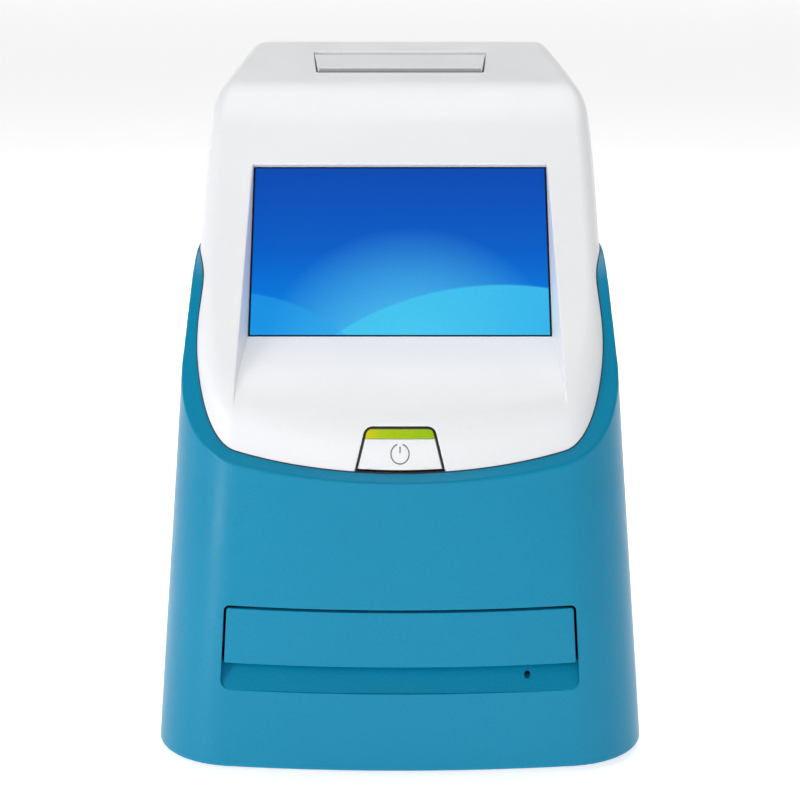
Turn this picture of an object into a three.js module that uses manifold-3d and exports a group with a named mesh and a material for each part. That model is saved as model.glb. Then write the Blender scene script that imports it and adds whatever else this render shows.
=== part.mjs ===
// A benchtop clinical chemistry analyzer: a coloured lower housing with a reagent-disc drawer,
// and a white head with a touch screen, a power button and a receipt printer under a lid.
// Millimetres. +X is the operator's right, -Y the front, +Z up, and z = 0 is the table.

import * as THREE from "three";
import { mergeVertices } from "three/addons/utils/BufferGeometryUtils.js";
import Module from "manifold-3d";

const wasm = await Module();
wasm.setup();

// Common clearances and cuts
const overrun = 20; // how far a cutter runs past what it cuts
const seat = 0.3; // gap between pieces that rest against each other
const running = 0.15; // radial gap of a shaft in its hole
const slideGap = 0.4; // gap of a piece that slides in a guide

// Facets of round things
const roundSteps = 32;
const smallRoundSteps = 16;
const noseSteps = 5;
const cornerSteps = 6;
const sideSteps = 3;
const rearSteps = 4;

// Lower housing
const depth = 300;
const baseWidth = 241;
const footHeight = 3; // the housing's bottom edge above the table
const baseTrim = 21; // how far the housing's walls would run past the rim if it did not cut them
const baseWall = 3;
const baseSideSlope = 0.072; // width lost on each side for each millimetre of height
const baseFrontSlope = 0.107;
const baseBackSlope = 0.005;
const baseNoseRadius = 650; // bulge of the front at the bottom
const rimNoseRadius = 360; // and at the rim
const baseCornerRadius = 42;
const baseRearRadius = 30;
const baseRings = 7;
const frontY = -depth / 2;
const rearY = depth / 2;
const sideX = baseWidth / 2;

// Rim of the lower housing, seen from the side: it climbs from the front wall up behind the head's face
const rimFront = { back: 12, height: 141 };
const rimKnee = { behindFace: 5.76, rise: 69.5 }; // above the front end
const rimTop = { behindFace: 19.73, rise: 28 }; // above the knee
const rimRearRise = 2.5; // above the top

const rimFrontHandle = { back: 15, rise: 9 };
const rimKneeHandleIn = { back: 26, rise: 32 };
const rimKneeHandleOut = { back: 11, rise: 13.5 };
const rimTopHandle = { back: 22, rise: 0.5 };
const rimSteps = 5;
const rimFlange = 3; // thickness of the ledge around the head
const rimKneeHeight = rimFront.height + rimKnee.rise;
const rimTopHeight = rimKneeHeight + rimTop.rise;
const rimRearHeight = rimTopHeight + rimRearRise;
const baseTop = rimRearHeight + baseTrim;

// Head
const headSideInset = 1.364; // the head's side stands this far inside the housing's, at the rear of the rim
const headWall = 2.8;
const seam = 0.4; // gap between the head's edge and the ledge
const tongueInset = 3.2;
const tongueWall = 2.3;
const tongueDepth = 8;
const noseRise = 7.2; // the head's front wall meets the ledge this far above the rim's front end
const noseSetback = 21;
const noseWallSlope = 0.52; // how far the front wall leans back for each millimetre of height
const headNoseRadius = 530;
const headCornerRadius = 23;
const foldRise = 17.3; // height of the head's front wall, up to its fold into the face
const browHeight = 311; // the face would meet the roof at this height
const browShare = 0.62; // and at this share of the depth
const roofSlope = 0.195;
const headBack = 7.5; // the head's back wall is this far inside the housing's depth
const headBackSlope = 0.02;
const headTaperSlope = 0.04; // how fast its sides close in towards the back at the rim
const headTaperSlopeGain = 0.096; // and how much faster for each ease length of height
const headDraftSlope = 0.02;
const easeLength = 60; // over which the taper and the draft set in
const foldRadius = 3; // edge between the head's front wall and its face
const sideEdgeRadius = 9;
const browRadius = 12;
const backEdgeRadius = 6;
const rearCornerRadius = 18;
const headFootDrop = 32; // how far the head is drawn below the rim before it is trimmed
const headCoreDrop = 28; // and how far the part of it behind the face is kept
const faceHoleInset = 12;
const rootFrontInset = 58;
const rootRearInset = 46;
const headHalfWidth = sideX - baseSideSlope * (rimRearHeight - footHeight) - headSideInset;
const faceHoleHalf = headHalfWidth - faceHoleInset;
const noseHeight = rimFront.height + noseRise;
const foldHeight = noseHeight + foldRise;

// Touch screen and its recess
const screenSideInset = 25.6;
const screenHeight = 99;
const screenFoot = { aboveFold: 32.5, behindFace: 25.16 };
const screenTop = { aboveFold: 110.1, behindFace: 3.46 };
const recessSlope = 0.15; // the recess widens by this for each millimetre towards the front
const recessFloorDrop = 37.2; // how far below the screen's lower edge the recess runs out
const recessFloorOut = 22.8;
const recessReach = 60;
const glassThickness = 2.3;
const glassSink = 0.4;
const lcdThickness = 6;
const lcdMargin = 4.5;
const bracketThickness = 1.6;
const bracketMargin = 3;
const screenHalfWidth = headHalfWidth - screenSideInset;

// Power button, on the head's front wall and over its lower edge
const buttonHalfTop = 15.6;
const buttonHalfFoot = 19.6;
const buttonFootRise = 1.7; // above the ledge
const buttonHeight = 15.4;
const buttonGap = 1.2;
const buttonDepth = 8; // of the opening for it
const buttonCorner = 1.8;
const buttonTravel = 1.2;
const lensBandHeight = 3.8; // the lit band at the button's top
const flangeReach = 3; // how far the cap's flange reaches behind the head's wall
const flangeThickness = 1.2;
const switchSize = { width: 12, depth: 6, height: 7.5 };
const switchBoard = { half: 29, thickness: 1.6, leg: 4 };
const buttonFootHeight = noseHeight + buttonFootRise;
const buttonTopHeight = buttonFootHeight + buttonHeight;
const lensHeight = buttonTopHeight - lensBandHeight;

// Drawer opening and the finger scoop under it
const mouthSideTop = 36.1; // the opening's upper corners lie this far inside the housing's width
const mouthSideFoot = 33.8;
const mouthFoot = 41.3;
const mouthHeight = 40.8;
const mouthTopCorner = 2.6;
const mouthFootCorner = 4.5;
const mouthDepth = 17; // the thick frame around the opening, from the foremost point
const drawerGap = 1.2;
const drawerBackInset = 15.4;
const scoopHeight = 13;
const scoopDepth = 10;
const scoopSteps = 5;
const pinhole = { inset: 25.3, rise: 6.5, radius: 1.5 };
const mouthHalfTop = sideX - mouthSideTop;
const mouthHalfFoot = sideX - mouthSideFoot;
const mouthTop = mouthFoot + mouthHeight;
const drawerFoot = mouthFoot + scoopHeight;
const drawerBackY = frontY + drawerBackInset;

// Disc tray, its rack and its guides
const traySideGap = 6.4; // between the tray and the opening's upper corner
const trayLength = 159.3;
const trayRise = 5.7; // the tray's underside above the drawer panel's foot
const trayThickness = 8;
const discInset = 54.3;
const discPocketRadius = 46;
const discPocketDepth = 5;
const discSlotHalf = 17;
const gearModule = 1.5;
const pinionTeeth = 14;
const pinionSideInset = 20;
const pinionFrontInset = 22.3;
const gearThickness = 5.5;
const gearBacklash = 0.35;
const rackBackThickness = 3.6;
const rackTeeth = 30;
const teethAhead = 3; // rack teeth in front of the pinion
const shaftRadius = 2;
const shaftDepth = 10;
const shaftRise = 1; // the pinion's shaft ends this far under the tray
const motorRadius = 12;
const motorGap = 3; // between the motor and the pinion
const railThickness = 4;
const railLip = 4;
const railLipThickness = 3;
const railFrontInset = 6.3; // behind the tray's front edge
const railOverhang = 5; // behind the tray's rear edge
const railRise = 12; // the rails' top above the tray's underside
const plateFoot = 4; // underside of the base plate
const plateThickness = 2.5;
const plateTop = plateFoot + plateThickness;
const trayHalfWidth = mouthHalfTop - traySideGap;
const trayFrontY = drawerBackY + seat;
const trayBackY = trayFrontY + trayLength;
const trayFoot = drawerFoot + trayRise;
const discY = trayFrontY + discInset;
const pinionX = pinionSideInset - trayHalfWidth;
const pinionY = trayFrontY + pinionFrontInset;
const motorTop = trayFoot - gearThickness - motorGap;
const railFrontY = trayFrontY + railFrontInset;
const railBackY = trayBackY + railOverhang;
const railTop = trayFoot + railRise;

// Base plate, feet and screws
const plateInset = 4.5;
const footRadius = 8;
const footInset = { end: 38, side: 36.5 };
const bossRadius = 6.5;
const bossHeight = 19.5;
const bossFront = { side: 19.3, end: 22.6 };
const bossRear = { side: 15.9, end: 15 };
const screwRadius = 1.5;
const screwHeadRadius = 3;
const screwHeadHeight = 1.6;
const screwLength = 12;

// Spindle and its lift
const liftTravel = 5;
const liftClearance = 0.5; // between the raised hub's bell and the tray
const actuatorRadius = 14;
const actuatorGap = 5; // between the actuator and the lift's plate
const plungerRadius = 3;
const plungerLength = 19;
const liftPlate = { halfWidth: 44, halfDepth: 24, thickness: 3 };
const guideX = 38;
const guideRadius = 3;
const guideRise = 12; // above the plate
const spindleRadius = 22;
const spindleHeight = 16;
const hubRadius = 14;
const hubRise = 5;
const hubBellRadius = 20;
const hubBellHeight = 4.5;
const hubShaftRadius = 3;
const hubShaftLength = 10; // inside the motor
const hubBellTop = trayFoot - liftTravel - liftClearance;
const hubTop = hubBellTop + hubRise;
const spindleTop = hubBellTop - hubBellHeight;
const hubShaftFoot = spindleTop - hubShaftLength;
const liftPlateTop = spindleTop - spindleHeight;
const liftPlateFoot = liftPlateTop - liftPlate.thickness;
const plungerFoot = liftPlateFoot - plungerLength;
const actuatorTop = liftPlateFoot - actuatorGap;
const guideTop = liftPlateTop + guideRise;

// Chamber lid and disc clamp
const lidThickness = 6;
const lidBehindDisc = 58;
const puckRadius = 18;
const puckFlangeRadius = 22;
const puckFlangeThickness = 2;
const puckBossRadius = 4;
const puckBossHeight = 6.5;
const bridge = { half: 40, depth: 16, leg: 6, rise: 7, thickness: 3 };

// Optics and readers, placed about the light path at the disc's ring of cuvettes
const lightBehindDisc = 38;
const lightRadius = 3;
const lamp = { half: 14, front: 12, back: 16, gap: 7 }; // gap: from its top to the tray
const lampLensRadius = 6;
const lampLensHeight = 2.5;
const photometer = { half: 22, front: 14, back: 18, height: 26 };
const reader = { left: 30, width: 26, front: 18, back: 8, height: 18 };
const lightY = discY + lightBehindDisc;

// Electronics
const board = { side: 32.5, behindTray: 13, thickness: 1.6, top: 130 };
const boardBracket = { half: 60, thickness: 2, foot: 18, height: 53.5 };
const supply = { side: 25.5, front: 26.4, back: 24, width: 60, height: 43.5 };
const chip = { half: 20, rise: 63.5, height: 40, thickness: 5 };
const plugStrip = { half: 60, rise: 13.5, height: 10, thickness: 6 };

// Fan and its grille
const fanHalf = 30;
const fanZ = 122;
const fanThickness = 15;
const fanInset = 4.5; // inside the housing's depth
const fanWall = 2.5; // least wall of the frame around the bore
const fanTipGap = 1; // between the blades' tips and the bore
const fanHubRadius = 11;
const fanBlades = 7;
const fanBladeThickness = 1.6;
const fanBladeShare = 0.7; // length of the rotor's hub as a share of the space in the frame
const fanBladeChordShare = 0.95; // and of a blade as a share of the hub
const fanBladeTurn = THREE.MathUtils.degToRad(55);
const fanSpoke = 3;
const fanPinRadius = 1.5;
const grilleSlots = 9;
const grillePitch = 6;
const grilleSlotHeight = 3;
const grilleHalf = 28;
const fanBackY = rearY - fanInset;
const fanBore = fanHalf - fanWall;
const fanBladeRadius = fanBore - fanTipGap;

// Rear panel and its sockets, in a row at these shares of the panel's half width
const panelSide = 41.5;
const panelFoot = 12;
const panelHeight = 52;
const panelThickness = 2.5;
const panelInset = 3.7; // inside the housing's depth
const panelRim = 5; // how far the panel reaches behind the housing around its opening
const socketRise = 18;
const socketProud = 0.8;
const usbShares = [-0.3544, -0.6329];
const rockerShare = 0.443;
const powerJackShare = 0.7595;
const ethernet = { half: 8, height: 13.5, depth: 20, mouthHalf: 5.9, mouthHeight: 8, mouthDepth: 13 };
const usb = { half: 7.2, height: 7.2, depth: 14, mouthHalf: 6.2, mouthHeight: 5, mouthDepth: 11 };
const powerJack = { half: 7, height: 12, depth: 14, holeRadius: 2.9, mouthDepth: 10 };
const powerPin = { radius: 1, sink: 1 };
const rocker = { half: 7, height: 22, depth: 16, wall: 1.5, hollow: 10, pinSink: 3.5, pinRadius: 1.2 };
const rockerPinEnd = { bore: 0.5, pin: 0.8 }; // how far inside the frame's sides they end
const rockerKeySize = { endGap: 1, front: 3.4, dish: 0.8, rim: 1, root: 1.6 };
const rockerTilt = THREE.MathUtils.degToRad(8);
const panelHalf = sideX - panelSide;
const panelTop = panelFoot + panelHeight;
const panelBackY = rearY - panelInset;
const socketFoot = panelFoot + socketRise;

// Receipt printer
const lidFrontHalf = 45.3;
const lidBackHalf = 48.4;
const lidPinInset = 40.5; // inside the housing's depth
const lidLength = 35; // from its front edge to the hinge pin
const lidRise = 2.2; // the lid's front lip stands this far above the roof
const lidPlate = 2.7;
const lidGap = 0.9;
const lidPinDrop = 5.9;
const lidBarrelRadius = 3.6;
const lidPinRadius = 1.25;
const lidLipUndercut = 1.2;
const curlSteps = 4;
const curlEnd = THREE.MathUtils.degToRad(35);
const bucketSteps = 12;
const lidEar = { inner: 44, thickness: 3.6, radius: 2.4, drop: 19.4 };
const bucket = { half: 36, wall: 2, pinAhead: 9, rollRadius: 19, floorDrop: 42.4, topDrop: 10.4 };
const platen = { behindLip: 9, drop: 6.6, radius: 4, half: 29, pinRadius: 1.5, pinLength: 3.5 };
const platenEar = { thickness: 2.2, depth: 7 };
const printHead = { half: 28, thickness: 2.5, below: 8, above: 3 };
const tearBar = { half: 44, thickness: 1.5, height: 4 };
const lidPinY = rearY - lidPinInset;
const lidFront = lidPinY - lidLength;
const platenY = lidFront + platen.behindLip;

// Solids

function solid(geometry) {
  geometry.deleteAttribute("normal");
  geometry.deleteAttribute("uv");
  const merged = mergeVertices(geometry, 1e-4);
  const triVerts = new Uint32Array(merged.index.array);
  const vertProperties = merged.attributes.position.array;
  const made = new wasm.Manifold(new wasm.Mesh({ numProp: 3, vertProperties, triVerts }));
  if (made.volume() >= 0) return made;
  for (let i = 0; i < triVerts.length; i += 3) {
    [triVerts[i + 1], triVerts[i + 2]] = [triVerts[i + 2], triVerts[i + 1]];
  }
  return new wasm.Manifold(new wasm.Mesh({ numProp: 3, vertProperties, triVerts }));
}

function geometryOf(made) {
  const { numProp, vertProperties, triVerts } = made.getMesh();
  const corners = vertProperties.length / numProp;
  const positions = new Float32Array(corners * 3);
  for (let i = 0; i < corners; i++) {
    positions.set(vertProperties.subarray(i * numProp, i * numProp + 3), i * 3);
  }
  return new THREE.BufferGeometry()
    .setAttribute("position", new THREE.BufferAttribute(positions, 3))
    .setIndex(new THREE.BufferAttribute(triVerts, 1));
}

const join = (first, ...rest) => rest.reduce((made, other) => made.add(other), first);
const cut = (first, ...rest) => rest.reduce((made, other) => made.subtract(other), first);

// A box from its [low, high] spans.
function block([x0, x1], [y0, y1], [z0, z1]) {
  const box = new THREE.BoxGeometry(x1 - x0, y1 - y0, z1 - z0);
  return solid(box.translate((x0 + x1) / 2, (y0 + y1) / 2, (z0 + z1) / 2));
}

// A cylinder along Z, from one height to the other.
function post(radius, x, y, [z0, z1], steps = roundSteps) {
  const cylinder = new THREE.CylinderGeometry(radius, radius, z1 - z0, steps);
  return solid(cylinder.rotateX(Math.PI / 2).translate(x, y, (z0 + z1) / 2));
}

// A cylinder along X.
function axle(radius, [x0, x1], y, z, steps = roundSteps) {
  const cylinder = new THREE.CylinderGeometry(radius, radius, x1 - x0, steps);
  return solid(cylinder.rotateZ(Math.PI / 2).translate((x0 + x1) / 2, y, z));
}

// A cylinder along Y.
function peg(radius, x, [y0, y1], z, steps = roundSteps) {
  const cylinder = new THREE.CylinderGeometry(radius, radius, y1 - y0, steps);
  return solid(cylinder.translate(x, (y0 + y1) / 2, z));
}

// An outline in Y and Z, drawn out along X.
function slabX(points, [x0, x1], steps = 1) {
  const shape = new THREE.Shape(points.map(([y, z]) => new THREE.Vector2(y, z)));
  const geometry = new THREE.ExtrudeGeometry(shape, { depth: x1 - x0, steps, bevelEnabled: false });
  const turn = new THREE.Matrix4().set(0, 0, 1, x0, 1, 0, 0, 0, 0, 1, 0, 0, 0, 0, 0, 1);
  return geometry.applyMatrix4(turn);
}

// An outline in X and Z, drawn out along Y.
function slabY(shape, [y0, y1]) {
  const geometry = new THREE.ExtrudeGeometry(shape, { depth: y1 - y0, bevelEnabled: false });
  return solid(geometry.rotateX(Math.PI / 2).translate(0, y1, 0));
}

// An outline in X and Y, drawn out along Z.
function slabZ(points, [z0, z1]) {
  const shape = new THREE.Shape(points.map(([x, y]) => new THREE.Vector2(x, y)));
  const geometry = new THREE.ExtrudeGeometry(shape, { depth: z1 - z0, bevelEnabled: false });
  return solid(geometry.translate(0, 0, z0));
}

// A solid through closed rings of [x, y, z] points, with flat ends.
function loft(rings) {
  const count = rings[0].length;
  const positions = rings.flat();
  const faces = [];
  for (let k = 0; k + 1 < rings.length; k++) {
    for (let i = 0; i < count; i++) {
      const a = k * count + i;
      const b = k * count + ((i + 1) % count);
      faces.push(a, b, b + count, a, b + count, a + count);
    }
  }
  for (const k of [0, rings.length - 1]) {
    const middle = positions.length;
    positions.push([0, 1, 2].map((axis) => rings[k].reduce((sum, p) => sum + p[axis], 0) / count));
    for (let i = 0; i < count; i++) {
      const a = k * count + i;
      const b = k * count + ((i + 1) % count);
      faces.push(...(k ? [a, b, middle] : [b, a, middle]));
    }
  }
  const geometry = new THREE.BufferGeometry()
    .setAttribute("position", new THREE.Float32BufferAttribute(positions.flat(), 3))
    .setIndex(faces);
  return solid(geometry);
}

// A four-sided outline symmetric about x = 0, with round upper and lower corners.
function taperedShape(halfFoot, halfTop, foot, top, footCorner, topCorner) {
  const lean = Math.atan2(halfFoot - halfTop, top - foot);
  const corner = (half, z, radius, from, to, side) => {
    const centreX = half - radius * Math.tan(Math.PI / 4 - (side * lean) / 2);
    const centreZ = z + (side > 0 ? -radius : radius);
    return Array.from({ length: 4 }, (_, i) => {
      const angle = from + ((to - from) * i) / 3;
      return [centreX + radius * Math.cos(angle), centreZ + radius * Math.sin(angle)];
    });
  };
  const right = [
    ...corner(halfFoot, foot, footCorner, -Math.PI / 2, lean, -1),
    ...corner(halfTop, top, topCorner, lean, Math.PI / 2, 1),
  ];
  const left = right.map(([x, z]) => [-x, z]).reverse();
  return new THREE.Shape([...right, ...left].map(([x, z]) => new THREE.Vector2(x, z)));
}

// The lower housing

// The outline of the lower housing at a height, drawn in by an inset.
function baseOutline(z, inset) {
  const rise = z - footHeight;
  const roundness = Math.min(1, Math.max(0, rise / (rimFront.height - footHeight)));
  const nose = baseNoseRadius + (rimNoseRadius - baseNoseRadius) * roundness - inset;
  const corner = baseCornerRadius - inset;
  const rear = baseRearRadius - inset;
  const halfWidth = sideX - baseSideSlope * rise - inset;
  const front = frontY + baseFrontSlope * rise + inset;
  const back = rearY - baseBackSlope * rise - inset;
  const cornerX = halfWidth - corner;
  const cornerY = front + nose - Math.sqrt((nose - corner) ** 2 - cornerX ** 2);
  const cornerStart = Math.asin(cornerX / (nose - corner));
  const right = [];
  for (let i = 0; i < noseSteps; i++) {
    const angle = (cornerStart * i) / noseSteps;
    right.push([nose * Math.sin(angle), front + nose - nose * Math.cos(angle)]);
  }
  for (let i = 0; i <= cornerSteps; i++) {
    const angle = cornerStart + ((Math.PI / 2 - cornerStart) * i) / cornerSteps;
    right.push([cornerX + corner * Math.sin(angle), cornerY - corner * Math.cos(angle)]);
  }
  const sideEnd = back - rear;
  for (let i = 1; i < sideSteps; i++) {
    right.push([halfWidth, cornerY + ((sideEnd - cornerY) * i) / sideSteps]);
  }
  for (let i = 0; i <= rearSteps; i++) {
    const angle = ((Math.PI / 2) * i) / rearSteps;
    right.push([halfWidth - rear + rear * Math.cos(angle), sideEnd + rear * Math.sin(angle)]);
  }
  const left = right.slice(1).map(([x, y]) => [-x, y]).reverse();
  return [...right, ...left].map(([x, y]) => [x, y, z]);
}

function baseSolid(inset, foot, top) {
  const heights = Array.from({ length: baseRings }, (_, k) => foot + ((top - foot) * k) / (baseRings - 1));
  return loft(heights.map((z) => baseOutline(z, inset)));
}

// Lines of the head seen from the side: its front wall, face, roof and back wall
const noseY = (z) => frontY + noseSetback + noseWallSlope * (z - noseHeight);
const foldY = noseY(foldHeight);
const browY = (browShare - 1 / 2) * depth;
const faceSlope = (browY - foldY) / (browHeight - foldHeight);
const faceY = (z) => foldY + faceSlope * (z - foldHeight);
const roofZ = (y) => browHeight + roofSlope * (y - browY);
const headBackY = (z) => rearY - headBack - headBackSlope * (z - roofZ(rearY));

// The rim's line, seen from the side, from the front to the back.
function rimLine() {
  const front = new THREE.Vector2(frontY + rimFront.back, rimFront.height);
  const behind = (height, gap) => new THREE.Vector2(faceY(height) + gap, height);
  const knee = behind(rimKneeHeight, rimKnee.behindFace);
  const top = behind(rimTopHeight, rimTop.behindFace);
  const rise = new THREE.CubicBezierCurve(
    front,
    new THREE.Vector2(front.x + rimFrontHandle.back, front.y + rimFrontHandle.rise),
    new THREE.Vector2(knee.x - rimKneeHandleIn.back, knee.y - rimKneeHandleIn.rise),
    knee,
  );
  const shoulder = new THREE.CubicBezierCurve(
    knee,
    new THREE.Vector2(knee.x + rimKneeHandleOut.back, knee.y + rimKneeHandleOut.rise),
    new THREE.Vector2(top.x - rimTopHandle.back, top.y - rimTopHandle.rise),
    top,
  );
  const points = [...rise.getPoints(rimSteps), ...shoulder.getPoints(rimSteps).slice(1)];
  const start = new THREE.Vector2(
    front.x - overrun,
    front.y - (overrun * rimFrontHandle.rise) / rimFrontHandle.back,
  );
  return [start, ...points, new THREE.Vector2(rearY + overrun, rimRearHeight)].map((p) => [p.x, p.y]);
}

const rim = rimLine();

function rimHeight(y) {
  const next = Math.max(1, rim.findIndex((p) => p[0] >= y));
  const [[y0, z0], [y1, z1]] = [rim[next - 1], rim[next]];
  return z0 + ((z1 - z0) * (y - y0)) / (y1 - y0);
}

// Everything above the rim's line, raised by an offset, or between two offsets of it.
const sky = baseTop + depth / 2;
function aboveRim(offset) {
  const line = rim.map(([y, z]) => [y, z + offset]);
  const [first, last] = [rim[0][0], rim[rim.length - 1][0]];
  return solid(slabX([...line, [last, sky], [first, sky]], [-depth, depth]));
}
function rimBand(low, high) {
  const under = rim.map(([y, z]) => [y, z + low]);
  const over = rim.map(([y, z]) => [y, z + high]).reverse();
  return solid(slabX([...under, ...over], [-depth, depth]));
}

// The head

// Where two surfaces meet, their distances joined with a round edge.
function roundMeet(a, b, radius) {
  const outside = Math.hypot(Math.max(radius + a, 0), Math.max(radius + b, 0));
  return Math.min(-radius, Math.max(a, b)) + outside;
}

// Nothing below zero, then a slope that sets in over a length.
function ramp(value, length) {
  if (value <= 0) return 0;
  return value < length ? value ** 2 / (2 * length) : value - length / 2;
}

function ease(value, from, to) {
  const share = Math.min(1, Math.max(0, (value - from) / (to - from)));
  return share * share * (3 - 2 * share);
}

function halfWidthAt(y, z) {
  const rise = ramp(z - rimRearHeight, easeLength);
  const taper = headTaperSlope + (headTaperSlopeGain * rise) / easeLength;
  return headHalfWidth - taper * ramp(y, easeLength) - headDraftSlope * rise;
}

// Distance outside the head's surface, negative inside.
function headDistance(x, y, z) {
  const centreY = noseY(z) + headNoseRadius;
  const nose = (Math.hypot(x, y - centreY) - headNoseRadius) / Math.hypot(1, noseWallSlope);
  const side = Math.abs(x) - halfWidthAt(y, z);
  const face = (faceY(z) - y) / Math.hypot(1, faceSlope);
  const roof = (z - roofZ(y)) / Math.hypot(1, roofSlope);
  const edge = foldRadius + (sideEdgeRadius - foldRadius) * ease(y, foldY, foldY + easeLength);
  const front = roundMeet(nose, side, headCornerRadius);
  const top = roundMeet(face, roof, browRadius);
  const rearRadius =
    rearCornerRadius + (backEdgeRadius - rearCornerRadius) * ease(z, roofZ(0) - easeLength, roofZ(0));
  return roundMeet(roundMeet(front, top, edge), y - headBackY(z), rearRadius);
}

const acrossShares = [0, 0.5, 0.78, 0.87, 0.92, 0.96, 1];
const downSteps = 5;
const downPower = 1.7; // packs the steps towards the edge
const crownLegs = [
  { shares: [0, 0.45, 0.85] },
  { shares: [0.01, 0.06, 0.2, 0.4, 0.62, 0.84, 0.92, 0.96] },
  { shares: [0, 0.05, 0.1, 0.35, 0.65, 0.92, 0.965] },
  { shares: [0, 0.04, 0.08, 0.2, 0.55, 1] },
];

// The head's outline over the top, seen from the side, with the edges still sharp.
function crownPoints() {
  const footZ = rimFront.height - headFootDrop;
  const backFootZ = rimRearHeight - headFootDrop;
  const backTopZ = roofZ(headBackY(roofZ(rearY)));
  const corners = [
    [noseY(footZ), footZ],
    [foldY, foldHeight],
    [browY, browHeight],
    [headBackY(backTopZ), backTopZ],
    [headBackY(backFootZ), backFootZ],
  ];
  const between = ([y0, z0], [y1, z1], share) => [y0 + (y1 - y0) * share, z0 + (z1 - z0) * share];
  return crownLegs.flatMap(({ shares }, leg) =>
    shares.map((share) => between(corners[leg], corners[leg + 1], share)),
  );
}

// The first point on the way from one point through another where the head's inset surface is met.
function reach(from, through, inset) {
  let [low, high] = [0, 2];
  for (let i = 0; i < 40; i++) {
    const middle = (low + high) / 2;
    const point = from.map((value, axis) => value + (through[axis] - value) * middle);
    if (headDistance(...point) + inset < 0) low = middle;
    else high = middle;
  }
  return from.map((value, axis) => value + (through[axis] - value) * low);
}

function headSolid(inset) {
  const crown = crownPoints();
  const [rootFront, rootBack] = [frontY + rootFrontInset, rearY - rootRearInset];
  const rings = crown.map(([y, z], row) => {
    const rootY = rootFront + ((rootBack - rootFront) * row) / (crown.length - 1);
    const rootZ = rimHeight(rootY) - headFootDrop;
    const root = [0, rootY, rootZ];
    const side = Array.from({ length: downSteps }, (_, i) => ((i + 1) / downSteps) ** downPower);
    const right = [
      ...acrossShares.map((share) => reach(root, [share * headHalfWidth, y, z], inset)),
      ...side.map((share) =>
        reach(root, [headHalfWidth, y + (rootY - y) * share, z + (rootZ - z) * share], inset),
      ),
    ];
    const left = right.slice(1).map(([x, a, b]) => [-x, a, b]).reverse();
    return [...right, ...left];
  });
  return loft(rings);
}

// The screen's own frame: x across, u up the glass from its lower edge, w out of the glass.
const [screenLow, screenHigh] = [screenFoot, screenTop].map(({ aboveFold, behindFace }) => {
  const z = foldHeight + aboveFold;
  return { y: faceY(z) + behindFace, z };
});
const screenLean = Math.atan2(screenHigh.y - screenLow.y, screenHigh.z - screenLow.z);
const onScreen = new THREE.Matrix4()
  .makeTranslation(0, screenLow.y, screenLow.z)
  .multiply(new THREE.Matrix4().makeRotationX(Math.PI / 2 - screenLean));

function screenBlock(half, [u0, u1], [w0, w1]) {
  const box = new THREE.BoxGeometry(2 * half, u1 - u0, w1 - w0);
  return solid(box.translate(0, (u0 + u1) / 2, (w0 + w1) / 2).applyMatrix4(onScreen));
}

// The recess around the screen: shallow at the top, deep at the bottom, with a floor that runs out.
function recess(grow) {
  const floorEnd = (recessReach * recessFloorDrop) / recessFloorOut;
  const profile = [
    [screenHeight + grow, -grow],
    [screenHeight + grow, recessReach],
    [-floorEnd - grow, recessReach],
    [-grow, -grow],
  ];
  const geometry = slabX(profile, [-1, 1]);
  const place = geometry.attributes.position;
  for (let i = 0; i < place.count; i++) {
    const w = place.getZ(i);
    const half = screenHalfWidth + grow + recessSlope * (w + grow);
    place.setX(i, Math.sign(place.getX(i)) * half);
  }
  return solid(geometry.applyMatrix4(onScreen));
}

const headFull = headSolid(0);
const headTongue = headSolid(tongueInset);
const tongueHole = headSolid(tongueInset - seat);

function buttonShape(grow) {
  const slope = (buttonHalfFoot - buttonHalfTop) / (buttonTopHeight - buttonFootHeight);
  const foot = buttonFootHeight - (grow > 0 ? overrun : 0);
  return taperedShape(
    buttonHalfFoot + grow + slope * (buttonFootHeight - foot),
    buttonHalfTop + grow - slope * grow,
    foot,
    buttonTopHeight + grow,
    buttonCorner,
    buttonCorner + grow,
  );
}

// The space the button moves in, from in front of the head to behind the cap.
function buttonSpace(grow) {
  const front = noseY(buttonFootHeight);
  return slabY(buttonShape(grow), [front - overrun, front + buttonDepth + overrun]);
}

function roofSlab(halfFront, halfBack, yFront, yBack, low, high) {
  const corners = [
    [-halfFront, yFront],
    [halfFront, yFront],
    [halfBack, yBack],
    [-halfBack, yBack],
  ];
  return loft([low, high].map((offset) => corners.map(([x, y]) => [x, y, roofZ(y) + offset])));
}

const lidPinZ = roofZ(lidPinY) - lidPinDrop;
const lidBackEdge = lidPinY + lidPinDrop + lidGap;

// Inside the hole in the ledge, where the face runs close over it.
const overHole = (gap) =>
  block(
    [gap - faceHoleHalf, faceHoleHalf - gap],
    [frontY + rootFrontInset, faceY(rimTopHeight) + rimTop.behindFace],
    [rimFront.height, sky],
  );

function headShell() {
  const visible = headFull.intersect(aboveRim(seam));
  const tongue = headTongue.intersect(aboveRim(-tongueDepth));
  const core = headFull.intersect(overHole(seat)).intersect(aboveRim(-headCoreDrop));
  const body = join(visible, tongue, core);
  const thinRegion = join(aboveRim(seam + headWall), overHole(seat + headWall));
  const cavity = join(headSolid(tongueInset + tongueWall), headSolid(headWall).intersect(thinRegion));
  const frame = recess(headWall).intersect(body);
  const aperture = screenBlock(screenHalfWidth, [0, screenHeight], [-overrun, seat]);
  const lidHole = roofSlab(
    lidFrontHalf + lidGap,
    lidBackHalf + lidGap,
    lidFront - lidGap,
    lidBackEdge,
    -overrun,
    overrun,
  );
  return cut(
    join(cut(body, cavity), frame),
    recess(0),
    aperture,
    buttonSpace(buttonGap),
    lidHole,
  );
}

// The lower housing's shell: its ledge, drawer mouth, finger scoop, screw posts and vents

const mouthShape = (grow) =>
  taperedShape(
    mouthHalfFoot + grow,
    mouthHalfTop + grow,
    mouthFoot - grow,
    mouthTop + grow,
    mouthFootCorner + grow,
    mouthTopCorner + grow,
  );

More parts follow.
